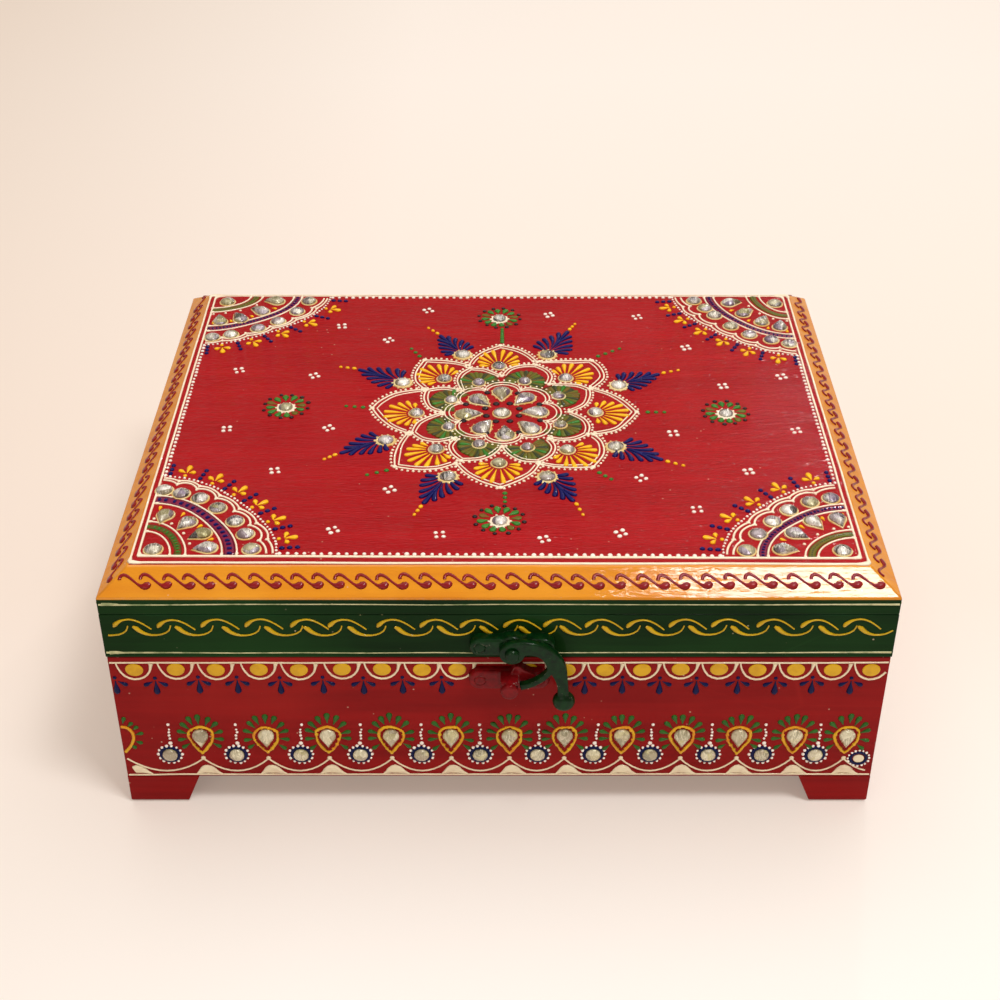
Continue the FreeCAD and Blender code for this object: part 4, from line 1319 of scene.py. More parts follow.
    @staticmethod
    def toward(point: Point, middle: Point, by: float) -> Point:
        """A point moved towards another by a length.

        Args:
            point: The point.
            middle: The other point.
            by: The length.

        Returns:
            The moved point.
        """
        dx, dy = middle[0] - point[0], middle[1] - point[1]
        reach = math.hypot(dx, dy)
        return (point[0] + dx / reach * by, point[1] + dy / reach * by)

    def petal_fills(self) -> None:
        """The green washes round the inner stones and the yellow fans round the outer ones."""
        cx, cy = self.centre
        stones = sorted(node_outlines("medallion_round_stones", self.chest.top()),
                        key=lambda stone: math.dist(stone[0], self.centre))
        for middle, _ in stones[1:9]:
            out = math.atan2(middle[1] - cy, middle[0] - cx)
            self.wash(middle, out)
            for i in range(17):
                angle = out + math.radians(-118 + 236 * i / 16)
                far = HAND.uniform(7.4, 8.4) - 1.3 * (abs(i - 8) / 8) ** 2
                layer = self.moss_dark if i % 4 == 1 else self.leaf if i % 8 == 3 else self.moss
                self.fan_drop(layer, middle, angle, 2.2, far, 1.0)
        for middle, _ in stones[9:]:
            out = math.atan2(middle[1] - cy, middle[0] - cx)
            for i in range(10):
                angle = out + math.radians(-84 + 168 * i / 9) + HAND.uniform(-0.03, 0.03)
                far = 12.4 - 5.0 * (abs(i - 4.5) / 4.5) ** 1.5 + HAND.uniform(-0.4, 0.4)
                self.fan_drop(self.yellow, middle, angle, 3.7, far, 1.02)

    def wash(self, middle: Point, out: float) -> None:
        """A thin olive wash that fills most of a disc round a stone.

        Args:
            middle: The stone's middle.
            out: The direction away from the medallion's centre, in radians.
        """
        points = []
        for i in range(19):
            angle = out + math.radians(-126 + 252 * i / 18)
            points.append((middle[0] + 4.9 * math.cos(angle), middle[1] + 4.9 * math.sin(angle), 3.1))
        self.wash_layer.stroke(points, steps=1)

    @staticmethod
    def fan_drop(
        layer: PaintLayer, middle: Point, angle: float, near: float, far: float, half: float,
    ) -> None:
        """One teardrop that points away from a stone."""
        (x, y), c, s = middle, math.cos(angle), math.sin(angle)
        layer.drop((x + near * c, y + near * s), (x + far * c, y + far * s), half)

    def feathers(self) -> None:
        """The navy sprays, each with its three yellow dots."""
        for stone, tip, last in self.sprays:
            dx, dy = tip[0] - stone[0], tip[1] - stone[1]
            axis = math.atan2(dy, dx)

            def place(share: float, aside: float) -> Point:
                """A point by its shares of the feather's length, along it and to its side."""
                return stone[0] + share * dx - aside * dy, stone[1] + share * dy + aside * dx

            self.navy.drop(place(0.45, 0.0), place(1.05, 0.0), 1.1)
            self.navy.drop(place(0.12, 0.0), place(0.62, 0.0), 0.9)
            for share, aside, root in self.feather_heads:
                for sign in (-1, 1):
                    foot = place(root, sign * 0.035)
                    head = place(share + 0.03 + HAND.uniform(-0.015, 0.015), sign * (aside + 0.03))
                    self.navy.drop(foot, head, 1.08, -0.09 * sign)
            start = (tip[0] + 2.6 * math.cos(axis), tip[1] + 2.6 * math.sin(axis))
            for i in range(3):
                share = i / 2
                x, y = start[0] + (last[0] - start[0]) * share, start[1] + (last[1] - start[1]) * share
                self.yellow.oval(x, y, 1.05 - 0.13 * i, 0.84 - 0.1 * i, axis)

    def green_dots(self) -> None:
        """The runs of green dots beyond the petals' tips."""
        for a, b, count in self.green_runs:
            for i in range(count):
                share = i / (count - 1)
                self.leaf.dot(a[0] + (b[0] - a[0]) * share, a[1] + (b[1] - a[1]) * share, 1.0 - 0.18 * share)

    def rosette_petals(self) -> None:
        """Green petals and black dots round the four rosette stones."""
        for x, y in self.rosettes:
            for i in range(12):
                angle = math.radians(30 * i + 8)
                far = HAND.uniform(7.0, 7.8)
                self.fan_drop(self.leaf if i % 5 else self.moss, (x, y), angle, 3.7, far, 1.35)
                outer = math.radians(30 * i + 20)
                self.outer_dot(x + 8.1 * math.cos(outer), y + 8.1 * math.sin(outer))

    def outer_dot(self, x: float, y: float) -> None:
        """One black dot, a little out of its place."""
        self.black.dot(x + HAND.uniform(-0.3, 0.3), y + HAND.uniform(-0.3, 0.3), HAND.uniform(0.8, 1.0))

    def cluster_dots(self) -> None:
        """The skewed clusters of four white dots."""
        for x, y in self.clusters:
            lean = math.radians(14 + HAND.uniform(-10, 22))
            for i in range(4):
                angle = math.pi / 4 + math.pi / 2 * i + lean
                spread = 1.65 * HAND.uniform(0.92, 1.08)
                size = 0.8 * HAND.uniform(0.9, 1.12)
                place = (x + spread * math.cos(angle), y + spread * math.sin(angle))
                self.white.oval(*place, size * 1.08, size, lean)

    def bezels(self) -> None:
        """Raised rings round the stones of the lid."""
        top = self.chest.top()
        for middle, outline in node_outlines("medallion_drop_stones", top, 20):
            self.gilt.ribbon(grown(outline, middle, 0.3), 0.44, True, 1)
            self.gilt.beads(grown(outline, middle, 0.85)[::2], 2.6, 0.36, True)
        for middle, outline in node_outlines("medallion_round_stones", top):
            self.gilt.ribbon(grown(outline, middle, 0.25), 0.38, True, 1)
        for node, layer in (("spray_stones", self.gilt), ("rosette_stones", self.cream)):
            for middle, outline in node_outlines(node, top):
                layer.ribbon(grown(outline, middle, 0.45), 0.6, True, 1)
                layer.beads(grown(outline, middle, 1.05), 2.2, 0.5, True)

    def build(self) -> None:
        """Draw it all and make one piece for each paint."""
        fans = [CornerFan(self.chest, self, side_x, side_y) for side_y in (-1, 1) for side_x in (-1, 1)]
        self.border()
        self.medallion()
        self.petal_fills()
        self.feathers()
        self.green_dots()
        self.rosette_petals()
        self.cluster_dots()
        self.bezels()
        for fan in fans:
            fan.draw()
        self.border_dots(fans)
        top = self.chest.top()
        for name, layer, finish in (
            ("lid_cream_lines", self.cream, CREAM), ("lid_white_dots", self.white, WHITE),
            ("lid_yellow_petals", self.yellow, YELLOW), ("lid_navy_feathers", self.navy, NAVY),
            ("lid_leaf_petals", self.leaf, LEAF), ("lid_moss_petals", self.moss, MOSS),
            ("lid_dark_moss_petals", self.moss_dark, DARK_MOSS), ("lid_olive_wash", self.wash_layer, WASH),
            ("lid_purple_bands", self.purple, PURPLE), ("lid_black_dots", self.black, BLACK),
            ("lid_stone_bezels", self.gilt, GILT),
        ):
            make_relief(name, [(layer, top)], finish, Body.LID)


@dataclass(frozen=True)
class FanSizes:
    """One corner fan: its corner, and how far its arcs reach along x and along y, in millimetres.

    The arcs are two by the corner, the two edges of the purple band, and the two scalloped lines.
    """

    corner: Point
    along_x: tuple[float, float, float, float, float, float]
    along_y: tuple[float, float, float, float, float, float]
    dashed: bool = False


FAN_SIZES: dict[tuple[int, int], FanSizes] = {
    (-1, -1): FanSizes(
        (-115.4, -86.9),
        (10.1, 15.0, 26.7, 31.5, 41.0, 43.6), (13.5, 19.0, 29.5, 34.0, 43.0, 44.7), dashed=True,
    ),
    (1, -1): FanSizes(
        (115.5, -88.1), (13.5, 17.6, 29.5, 32.8, 40.7, 43.2), (11.1, 15.4, 26.4, 30.2, 39.5, 41.6),
    ),
    (-1, 1): FanSizes(
        (-115.5, 90.7), (14.4, 19.2, 32.0, 35.3, 44.5, 46.3), (10.2, 13.7, 25.2, 29.2, 37.0, 39.2),
    ),
    (1, 1): FanSizes(
        (115.6, 90.7), (9.7, 15.0, 28.4, 32.2, 41.8, 44.6), (13.8, 19.5, 32.0, 35.4, 45.0, 47.4),
    ),
}


@dataclass
class CornerFan:
    """One quarter fan in a corner of the border."""

    chest: Chest
    art: LidOrnament
    side_x: int
    side_y: int
    flatness: float = 0.085
    cluster: tuple[tuple[float, float, float, float], ...] = (
        (0.0, 0.2, 4.6, 1.2), (66.0, 0.5, 3.5, 1.02), (-70.0, 0.8, 3.2, 1.02),
    )

    def __post_init__(self) -> None:
        """Look up its sizes and its stones."""
        self.sizes = FAN_SIZES[(self.side_x, self.side_y)]
        self.corner = self.sizes.corner
        top = self.chest.top()
        name = "fan_" + ("front" if self.side_y < 0 else "back") + ("_left" if self.side_x < 0 else "_right")
        self.drops = node_outlines(name + "_drop_stones", top, 20)
        self.rounds = node_outlines(name + "_round_stones", top)

    def reach(self, ring: int) -> Point:
        """How far one of the arcs reaches along x and along y."""
        return self.sizes.along_x[ring], self.sizes.along_y[ring]

    def radius(self, reach: Point, degrees: float) -> float:
        """The distance of an arc from the corner, a little flattened in the middle.

        Args:
            reach: How far the arc reaches along x and along y.
            degrees: The angle from the border that runs left and right.

        Returns:
            The distance.
        """
        angle = math.radians(degrees)
        plain = 1 / math.hypot(math.cos(angle) / reach[0], math.sin(angle) / reach[1])
        share = 0.5 * (reach[0] + reach[1]) / 45.0
        return plain * (1 - self.flatness * share * math.sin(2 * angle) ** 2)

    def spot(self, reach: Point, degrees: float, out: float = 0.0) -> Point:
        """A point of the fan.

        Args:
            reach: How far its arc reaches along x and along y.
            degrees: The angle from the border that runs left and right.
            out: How far outside the arc it lies.

        Returns:
            The point.
        """
        angle = math.radians(degrees)
        radius = self.radius(reach, degrees) + out
        return (
            self.corner[0] - self.side_x * radius * math.cos(angle),
            self.corner[1] - self.side_y * radius * math.sin(angle),
        )

    def angle_of(self, point: Point) -> float:
        """The angle of a point round the corner, in degrees."""
        return math.degrees(math.atan2(abs(point[1] - self.corner[1]), abs(point[0] - self.corner[0])))

    def heading(self, point: Point) -> float:
        """The direction from the corner to a point, in radians."""
        return math.atan2(point[1] - self.corner[1], point[0] - self.corner[0])

    def band(
        self, layer: PaintLayer, reach: Point, half: float, start: float = 0.0, end: float = 90.0,
    ) -> None:
        """An arc round the corner."""
        points = [self.spot(reach, start + (end - start) * i / 16) for i in range(17)]
        layer.ribbon(points, half, steps=1)

    def dashes(self, layer: PaintLayer, reach: Point, count: int, long: float, short: float) -> None:
        """Short dashes that follow an arc.

        Args:
            layer: The paint.
            reach: How far the arc reaches along x and along y.
            count: How many dashes there are.
            long: Half a dash's length.
            short: Half its width.
        """
        for i in range(count):
            degrees = 2.5 + 85 * (i + HAND.uniform(-0.12, 0.12)) / (count - 1)
            x, y = self.spot(reach, degrees)
            turn = self.heading((x, y)) + math.pi / 2
            stretch = HAND.uniform(0.8, 1.1)
            a = (x - long * stretch * math.cos(turn), y - long * stretch * math.sin(turn))
            b = (x + long * stretch * math.cos(turn), y + long * stretch * math.sin(turn))
            layer.straight(a, b, short)

    def draw(self) -> None:
        """Draw the fan into the layers of the lid's ornament."""
        art = self.art
        for ring in range(4):
            self.band(art.cream, self.reach(ring), 0.38)
            for degrees, turn in ((2.2, 0.0), (87.8, 90.0)):
                x, y = self.spot(self.reach(ring), degrees)
                art.cream.oval(x, y, 1.15, 0.62, math.radians(90 - turn))
        inner, outer = self.reach(2), self.reach(3)
        middle = (0.5 * (inner[0] + outer[0]), 0.5 * (inner[1] + outer[1]))
        fill = 0.42 * (outer[0] - inner[0] + outer[1] - inner[1]) / 2 * 1.9
        self.band(art.purple, middle, 0.5 * fill, 1.0, 89.0)
        count, long, wide = (18, 0.5, 1.0) if self.sizes.dashed else (30, 0.3, 0.66)
        self.dashes(art.navy, middle, count, long, wide)
        inner, outer = self.reach(0), self.reach(1)
        between = (0.5 * (inner[0] + outer[0]), 0.5 * (inner[1] + outer[1]))
        if self.sizes.dashed:
            self.band(art.wash_layer, between, 1.3, 2.0, 88.0)
            self.dashes(art.leaf, between, 13, 0.3, 0.75)
        else:
            self.band(art.moss, between, 1.35, 2.0, 88.0)
            self.dashes(art.moss_dark, between, 22, 0.35, 0.42)
        self.scallops()
        self.fringe()
        self.stone_bezels()

    def scallops(self) -> None:
        """The two scalloped lines, whose cusps lie between the outer stones, and the dots outside."""
        art = self.art
        outer = [middle for middle, _ in self.rounds if math.dist(middle, self.corner) > 20]
        angles = sorted(self.angle_of(middle) for middle in outer)
        cusps = [0.5 * (a + b) for a, b in zip(angles, angles[1:])]
        marks = [-min(cusps[0] * 0.7, 9.0)] + cusps + [90 + min((90 - cusps[-1]) * 0.7, 9.0)]
        rows = ((4, (-1.9, -1.4), 1.8, 0.42), (5, (-1.7, -1.2), 1.1, 0.42))
        for ring, inset, swell, half in rows:
            base = (self.reach(ring)[0] + inset[0], self.reach(ring)[1] + inset[1])
            for a, b in zip(marks, marks[1:]):
                points = []
                for i in range(9):
                    degrees = a + (b - a) * i / 8
                    if 0 <= degrees <= 90:
                        points.append(self.spot(base, degrees, swell * math.sin(math.pi * i / 8) ** 0.75))
                art.cream.ribbon(points, half, steps=2)
            for degrees in cusps:
                x, y = self.spot(base, degrees)
                art.cream.oval(x, y, 0.95, 0.55, self.heading((x, y)))
        ring = []
        base = (self.reach(5)[0] - 1.7, self.reach(5)[1] - 1.2)
        for i in range(61):
            ring.append(self.spot(base, 90 * i / 60, 2.3))
        art.white.beads(ring[1:-1], 1.75, 0.52)

    def fringe(self) -> None:
        """Navy triple dots and yellow four-drop clusters round the outside."""
        art = self.art
        count = 7 if len(self.rounds) > 7 else 6
        base = (self.reach(5)[0] - 1.7, self.reach(5)[1] - 1.2)
        step = 82.0 / (count - 1)
        for i in range(count):
            degrees = 5.0 + step * i + HAND.uniform(-0.8, 0.8)
            for k in range(3):
                x, y = self.spot(base, degrees, 4.0 + 2.5 * k)
                art.navy.oval(x, y, 1.12 - 0.06 * k, 0.9, self.heading((x, y)))
        for i in range(count - 1):
            x, y = self.spot(base, 5.0 + step * (i + 0.5), 5.3)
            out = self.heading((x, y))
            for turn, near, far, half in self.cluster:
                angle = out + math.radians(turn)
                tail = (x + near * math.cos(angle), y + near * math.sin(angle))
                art.yellow.drop(tail, (x + far * math.cos(angle), y + far * math.sin(angle)), half)
            art.yellow.dot(x - 1.7 * math.cos(out), y - 1.7 * math.sin(out), 0.8)

    def stone_bezels(self) -> None:
        """Rings round the fan's stones, and dots between its drops."""
        art = self.art
        for middle, outline in self.drops + self.rounds:
            art.gilt.ribbon(grown(outline, middle, 0.25), 0.38, True, 1)
        angles = sorted(self.angle_of(middle) for middle, _ in self.drops)
        gaps = [0.5 * (a + b) for a, b in zip(angles, angles[1:])] + [0.5 * (angles[-1] + 92)]
        for degrees in gaps:
            tail = self.spot(self.reach(2), degrees, -3.8)
            art.yellow.drop(tail, self.spot(self.reach(2), degrees, -1.5), 0.72)
            art.cream.dot(*self.spot(self.reach(1), degrees + 1, 1.7), 0.62)


# Scrolls of the bevel and of the green band


SCROLL_RED = RaisedPaint("dark_red_scroll_paint", "86101A", "9C1418", 0.5)
SCROLL_YELLOW = RaisedPaint("yellow_scroll_paint", "D0A812", "B8900E", 0.6)
THIN_CREAM = RaisedPaint("thin_cream_paint", "D8D2A0", "7A8A5A", 0.8)


@dataclass
class LidScrolls:
    """The comma scrolls of the bevels and of the green band, and the band's cream lines."""

    chest: Chest
    bevel_pitch: float = 6.85
    bevel_start: float = 15.6
    bevel_end: float = 6.6
    band_pitch: float = 13.6
    bevel_height: float = 4.5
    upper_head: float = 78.5
    lower_head: float = 76.8
    bevel_comma: tuple[StrokePoint, ...] = (
        (-8.5, 1.8, 0.6), (-8.4, 2.8, 0.6), (-7.4, 3.5, 0.6), (-5.8, 2.9, 0.5), (-3.8, 1.3, 0.4),
        (-2.0, 0.0, 0.5), (-0.6, -0.3, 1.2), (0.5, 0.1, 1.3), (1.2, 0.8, 0.7),
    )
    upper_comma: tuple[StrokePoint, ...] = (
        (-0.7, -0.9, 0.4), (-0.2, -0.1, 0.85), (1.0, 1.0, 0.66), (2.4, 1.75, 0.4), (4.4, 2.1, 0.34),
        (6.5, 1.6, 0.32), (8.8, 0.2, 0.3), (11.2, -1.9, 0.26),
    )
    lower_comma: tuple[StrokePoint, ...] = (
        (-1.2, 1.0, 0.4), (-0.1, 0.2, 0.88), (1.6, -1.4, 0.72), (4.4, -2.5, 0.4), (7.8, -2.2, 0.32),
        (10.2, -0.7, 0.3), (11.0, 1.4, 0.24),
    )
    upper_places: tuple[float, ...] = (
        -122.0, -108.0, -94.0, -80.0, -65.5, -53.5, -38.0, -24.3, -11.5, 2.3, 15.0, 28.3, 41.5, 55.0, 68.5,
        83.0, 97.0, 110.5,
    )
    lower_places: tuple[float, ...] = (
        -129.2, -115.5, -102.0, -87.0, -73.5, -61.0, -47.0, -32.0, -18.5, -5.0, 7.5, 20.5, 34.0, 48.0, 61.5,
        75.0, 89.0, 103.0, 115.5,
    )

    def bevel_layer(self, side: Side) -> PaintLayer:
        """The red chain on one bevel.

        Args:
            side: Which side.

        Returns:
            The layer.
        """
        layer = PaintLayer(0.5)
        half = self.chest.width(side, self.chest.lid_half()) / 2
        first, last = self.bevel_start - half, half - self.bevel_end
        count = round((last - first) / self.bevel_pitch)
        for i in range(count + 1):
            x = first + (last - first) * i / count + (HAND.uniform(-0.5, 0.5) if 0 < i < count else 0.0)
            y = self.bevel_height + HAND.uniform(-0.25, 0.25)
            layer.stroke(shifted(self.bevel_comma, x, y), steps=2)
        return layer

    def band_layer(self, side: Side) -> PaintLayer:
        """The yellow scroll on one side of the green band.

        Args:
            side: Which side.

        Returns:
            The layer.
        """
        layer = PaintLayer(0.5)
        if side is Side.FRONT:
            upper, lower = self.upper_places, self.lower_places
        else:
            half = self.chest.width(side, self.chest.lid_half()) / 2 - 13
            count = int(2 * half / self.band_pitch)
            upper = [-half + i * 2 * half / count for i in range(count + 1)]
            lower = [x - 6.8 for x in upper]
        limit = self.chest.width(side, self.chest.lid_half()) / 2 - 0.9
        for places, comma, height in (
            (upper, self.upper_comma, self.upper_head), (lower, self.lower_comma, self.lower_head),
        ):
            for x in places:
                drift = HAND.uniform(-0.2, 0.2)
                run = [p for p in shifted(comma, x, height + drift) if abs(p[0]) < limit]
                if len(run) > 3:
                    layer.stroke(run, steps=2)
        return layer

    def line_layer(self, side: Side) -> PaintLayer:
        """The two thin cream lines of the green band on one side.

        Args:
            side: Which side.

        Returns:
            The layer.
        """
        layer = PaintLayer(0.2)
        half = self.chest.width(side, self.chest.lid_half()) / 2 - 0.6
        low = 70.6 if side is Side.BACK else 66.9
        for height, blob in ((86.7, 0.62), (low, 0.72)):
            points = []
            for i in range(13):
                x = -half + 2 * half * i / 12
                end = abs(i - 6) / 6
                points.append((x, height + HAND.uniform(-0.2, 0.2), 0.2 + 0.22 * end ** 6))
            layer.stroke(points, steps=2)
            layer.stroke([(1.0 - half, height, blob), (3.4 - half, height + 0.1, 0.9 * blob),
                          (6.2 - half, height, 0.3)], steps=2)
        return layer

    def build(self) -> None:
        """Make the three pieces."""
        half = self.chest.lid_half()
        bevels = [(self.bevel_layer(side), self.chest.slope(side)) for side in Side]
        make_relief("lid_bevel_scroll", bevels, SCROLL_RED, Body.LID)
        scrolls = [(self.band_layer(side), self.chest.upright(side, half)) for side in Side]
        make_relief("lid_band_scroll", scrolls, SCROLL_YELLOW, Body.LID)
        lines = [(self.line_layer(side), self.chest.upright(side, half)) for side in Side]
        make_relief("lid_band_lines", lines, THIN_CREAM, Body.LID)


# Ornament of the walls


WALL_CREAM = RaisedPaint("wall_cream_paint", "F0E2C0", "D8B49A", 0.4)
WALL_YELLOW = RaisedPaint("wall_yellow_paint", "DCAA0C", "C48E08", 0.6)
WALL_ORANGE = RaisedPaint("wall_orange_paint", "E2B01A", "DC7410", 0.7)
WALL_NAVY = RaisedPaint("wall_navy_paint", "050D40", "08124E", 0.5, coat=0.06)
WALL_LEAF = RaisedPaint("wall_leaf_paint", "285E1E", "3C722A", 0.6, coat=0.15)


@dataclass
class WallOrnament:
    """The bands painted on the four walls."""

    chest: Chest
    line_top: float = 62.5
    oval_height: float = 59.6
    trio_height: float = 56.1
    node_height: float = 20.2
    catenary_low: float = 14.6
    base_line: float = 13.0
    first_hill: float = -123.6
    stop_cut: float = 3.6
    last_round: Point = (121.6, 20.4)
    oval_places: tuple[float, ...] = (
        -118.5, -105.0, -92.0, -78.0, -65.0, -51.0, -38.0, -25.0, -13.5, 10.0, 22.0, 34.5, 46.5, 59.0, 71.5,
        84.0, 96.5, 108.5, 121.0,
    )
    trio_places: tuple[float, ...] = (
        -125.3, -112.2, -98.1, -85.5, -71.5, -57.5, -44.3, -31.5, -18.7, 28.0, 40.3, 52.5, 64.5, 78.0, 90.3,
        102.3, 115.0,
    )
    swag: tuple[StrokePoint, ...] = (
        (-5.7, 2.9, 0.3), (-5.2, 0.6, 0.34), (-3.5, -2.5, 0.4), (-0.4, -4.0, 0.42), (2.8, -3.2, 0.4),
        (4.8, -0.9, 0.4), (5.4, 1.2, 0.55), (5.6, 2.6, 0.85),
    )
    hill: tuple[StrokePoint, ...] = (
        (-4.3, 0.25, 0.2), (-3.1, 0.95, 0.8), (-1.7, 1.9, 1.65), (-0.3, 2.35, 2.1), (1.1, 1.9, 1.65),
        (2.8, 0.9, 0.75), (4.5, 0.25, 0.2),
    )
    trio: tuple[tuple[Point, Point, float], ...] = (
        ((0.05, -1.3), (0.1, -6.9), 1.15), ((-0.9, -1.5), (-3.9, -3.3), 0.88),
        ((0.9, -1.5), (3.9, -3.3), 0.88),
    )
    bezel: tuple[Point, ...] = (
        (0.0, -6.7), (0.5, -4.2), (0.88, -1.6), (1.0, 0.9), (0.9, 2.9), (0.5, 4.3), (0.0, 4.8),
        (-0.5, 4.3), (-0.9, 2.9), (-1.0, 0.9), (-0.88, -1.6), (-0.5, -4.2),
    )
    cut_bezel: tuple[StrokePoint, ...] = (
        (0.0, 34.6, 0.6), (2.2, 34.0, 0.65), (3.6, 31.6, 0.6), (3.5, 28.8, 0.6), (2.2, 25.8, 0.6),
        (0.2, 23.2, 0.6),
    )
    cut_drops: tuple[tuple[Point, Point], ...] = (
        ((-125.3, 36.0), (-124.5, 39.0)), ((-123.9, 34.6), (-122.0, 36.6)),
        ((-122.3, 33.2), (-120.4, 34.9)), ((-121.6, 31.1), (-118.9, 31.9)),
        ((-121.9, 28.0), (-119.6, 27.2)), ((-123.6, 26.4), (-122.0, 24.9)),
    )
    rising: tuple[Point, ...] = (
        (6.1, 0.8), (8.2, 0.48), (9.6, 0.56), (11.0, 0.52), (12.2, 0.42), (14.4, 0.6),
    )

    def __post_init__(self) -> None:
        """Start the lists of layers, one entry for each wall."""
        self.layers: dict[str, list[tuple[PaintLayer, Face]]] = {
            key: [] for key in ("cream", "yellow", "orange", "navy", "leaf", "white", "hills")
        }

    def draw(self, side: Side) -> None:
        """Draw one wall.

        Args:
            side: Which wall.
        """
        half = self.chest.width(side, self.chest.body_half()) / 2
        face = self.chest.upright(side, self.chest.body_half())
        drops = node_outlines(side.name.lower() + "_drop_stones", face, 20)
        rounds = node_outlines(side.name.lower() + "_round_stones", face)
        layers = {key: PaintLayer(0.4) for key in self.layers}
        layers["yellow"].settle = 0.25
        layers["hills"].settle = 0.2
        lowered = 1.7 if side is Side.BACK else 0.0
        self.upper_band(side, half, layers, lowered)
        drop_places = sorted(middle[0] for middle, _ in drops)
        self.fans(half, layers, drops)
        self.rounds(layers, rounds)
        self.base(side, half, layers, drop_places)
        if side is Side.FRONT:
            self.cut_fan(half, layers)
            self.small_round(layers)
        for key, layer in layers.items():
            self.layers[key].append((layer, face))

    def upper_band(self, side: Side, half: float, layers: dict[str, PaintLayer], lowered: float) -> None:
        """The line, swags, ovals and navy drops under the lid.

        Args:
            side: Which wall.
            half: Half the wall's width.
            layers: The wall's layers.
            lowered: How far they are set lower, clear of the lid's stop.
        """
        edge = half - 0.5
        first = self.stop_cut - edge if side is Side.LEFT else -edge
        last = edge - self.stop_cut if side is Side.RIGHT else edge
        top = self.line_top - lowered
        run = [(first + (last - first) * i / 16, top + HAND.uniform(-0.12, 0.12), 0.33) for i in range(17)]
        layers["cream"].stroke(run, steps=2)
        if side is Side.FRONT:
            ovals, trios = self.oval_places, self.trio_places
        else:
            count = int(2 * (half - 7) / 13.2)
            ovals = [-half + 7.5 + i * (2 * half - 15) / count for i in range(count + 1)]
            trios = [0.5 * (a + b) for a, b in zip(ovals, ovals[1:])]
        for x in ovals:
            height = self.oval_height - lowered + HAND.uniform(-0.2, 0.2)
            layers["yellow"].oval(x, height, 3.0, 2.6, HAND.uniform(-0.2, 0.2))
            run = [p for p in shifted(self.swag, x, height)
                   if first < p[0] < last or (abs(p[0]) < edge and p[1] + p[2] < top - 0.7)]
            if len(run) > 3:
                layers["cream"].stroke(run, steps=2)
        for x in trios:
            height = self.trio_height - lowered + HAND.uniform(-0.3, 0.3)
            layers["navy"].dot(x, height, 0.72)
            for (ax, ay), (bx, by), wide in self.trio:
                if abs(x + bx) < edge - 0.8:
                    layers["navy"].drop((x + ax, height + ay), (x + bx, height + by), wide)

    def fans(self, half: float, layers: dict[str, PaintLayer], drops: Sequence[Stone]) -> None:
        """The wavy drop bezels with their green teardrops.

        Args:
            half: Half the wall's width.
            layers: The wall's layers.
            drops: Its drop stones.
        """
        for middle, _ in drops:
            x, y = middle
            run = []
            for px, py in self.bezel:
                wave = 1 + HAND.uniform(-0.07, 0.07)
                run.append((x + px * 4.0 * wave, y + py * wave, 0.5 * HAND.uniform(0.65, 1.3)))
            layers["orange"].stroke(run, True, 2)
            layers["orange"].beads([p[:2] for p in run], 2.3, 0.66, True)
            for i in range(11):
                angle = math.radians(90 - 126 + 252 * i / 10 + HAND.uniform(-3, 3))
                tall = 1 - abs(i - 5) / 5
                rise = 9.8 + HAND.uniform(-0.4, 0.6)
                head = (x + 7.9 * math.cos(angle), y + 0.9 + rise * math.sin(angle))
                way = math.atan2(head[1] - y - 0.4, head[0] - x)
                long = HAND.uniform(3.0, 3.5) + 1.1 * tall
                tail = (head[0] - long * math.cos(way), head[1] - long * math.sin(way))
                if abs(head[0]) < half - 1:
                    layers["leaf"].drop(tail, head, 0.84 + 0.28 * tall)

    def cut_fan(self, half: float, layers: dict[str, PaintLayer]) -> None:
        """The fan that the left corner of the front cuts off.

        Args:
            half: Half the wall's width.
            layers: The wall's layers.
        """
        edge = -half + 0.6
        layers["orange"].stroke(shifted(self.cut_bezel, edge, 0.0), steps=3)
        for tail, head in self.cut_drops:
            layers["leaf"].drop(tail, head, 0.85)

    def small_round(self, layers: dict[str, PaintLayer]) -> None:
        """The small pearly dot in its rings by the right corner of the front.

        Args:
            layers: The wall's layers.
        """
        x, y = self.last_round
        layers["cream"].oval(x, y, 1.9, 1.7, 0.0)
        for reach, key in ((2.7, "navy"), (3.6, "white")):
            turns = [math.pi * i / 8 for i in range(16)]
            ring = [(x + reach * math.cos(turn), y + 0.95 * reach * math.sin(turn)) for turn in turns]
            if key == "navy":
                layers["navy"].ribbon(ring, 0.6, True, 1)
            else:
                layers["white"].beads(ring, 1.4, 0.5, True)

    def rounds(self, layers: dict[str, PaintLayer], rounds: Sequence[Stone]) -> None:
        """The navy rings with white dots, and the rising dots over them.

        Args:
            layers: The wall's layers.
            rounds: Its round stones.
        """
        for middle, outline in rounds:
            layers["navy"].ribbon(grown(outline, middle, 0.6), 0.72, True, 1)
            layers["white"].beads(grown(outline, middle, 1.5), 1.75, 0.58, True)
            x, y = middle
            lean = HAND.uniform(0.0, 0.09)
            for rise, size in self.rising:
                layers["white"].dot(x + HAND.uniform(-0.3, 0.3) + lean * rise, y + rise - 1.0, size)

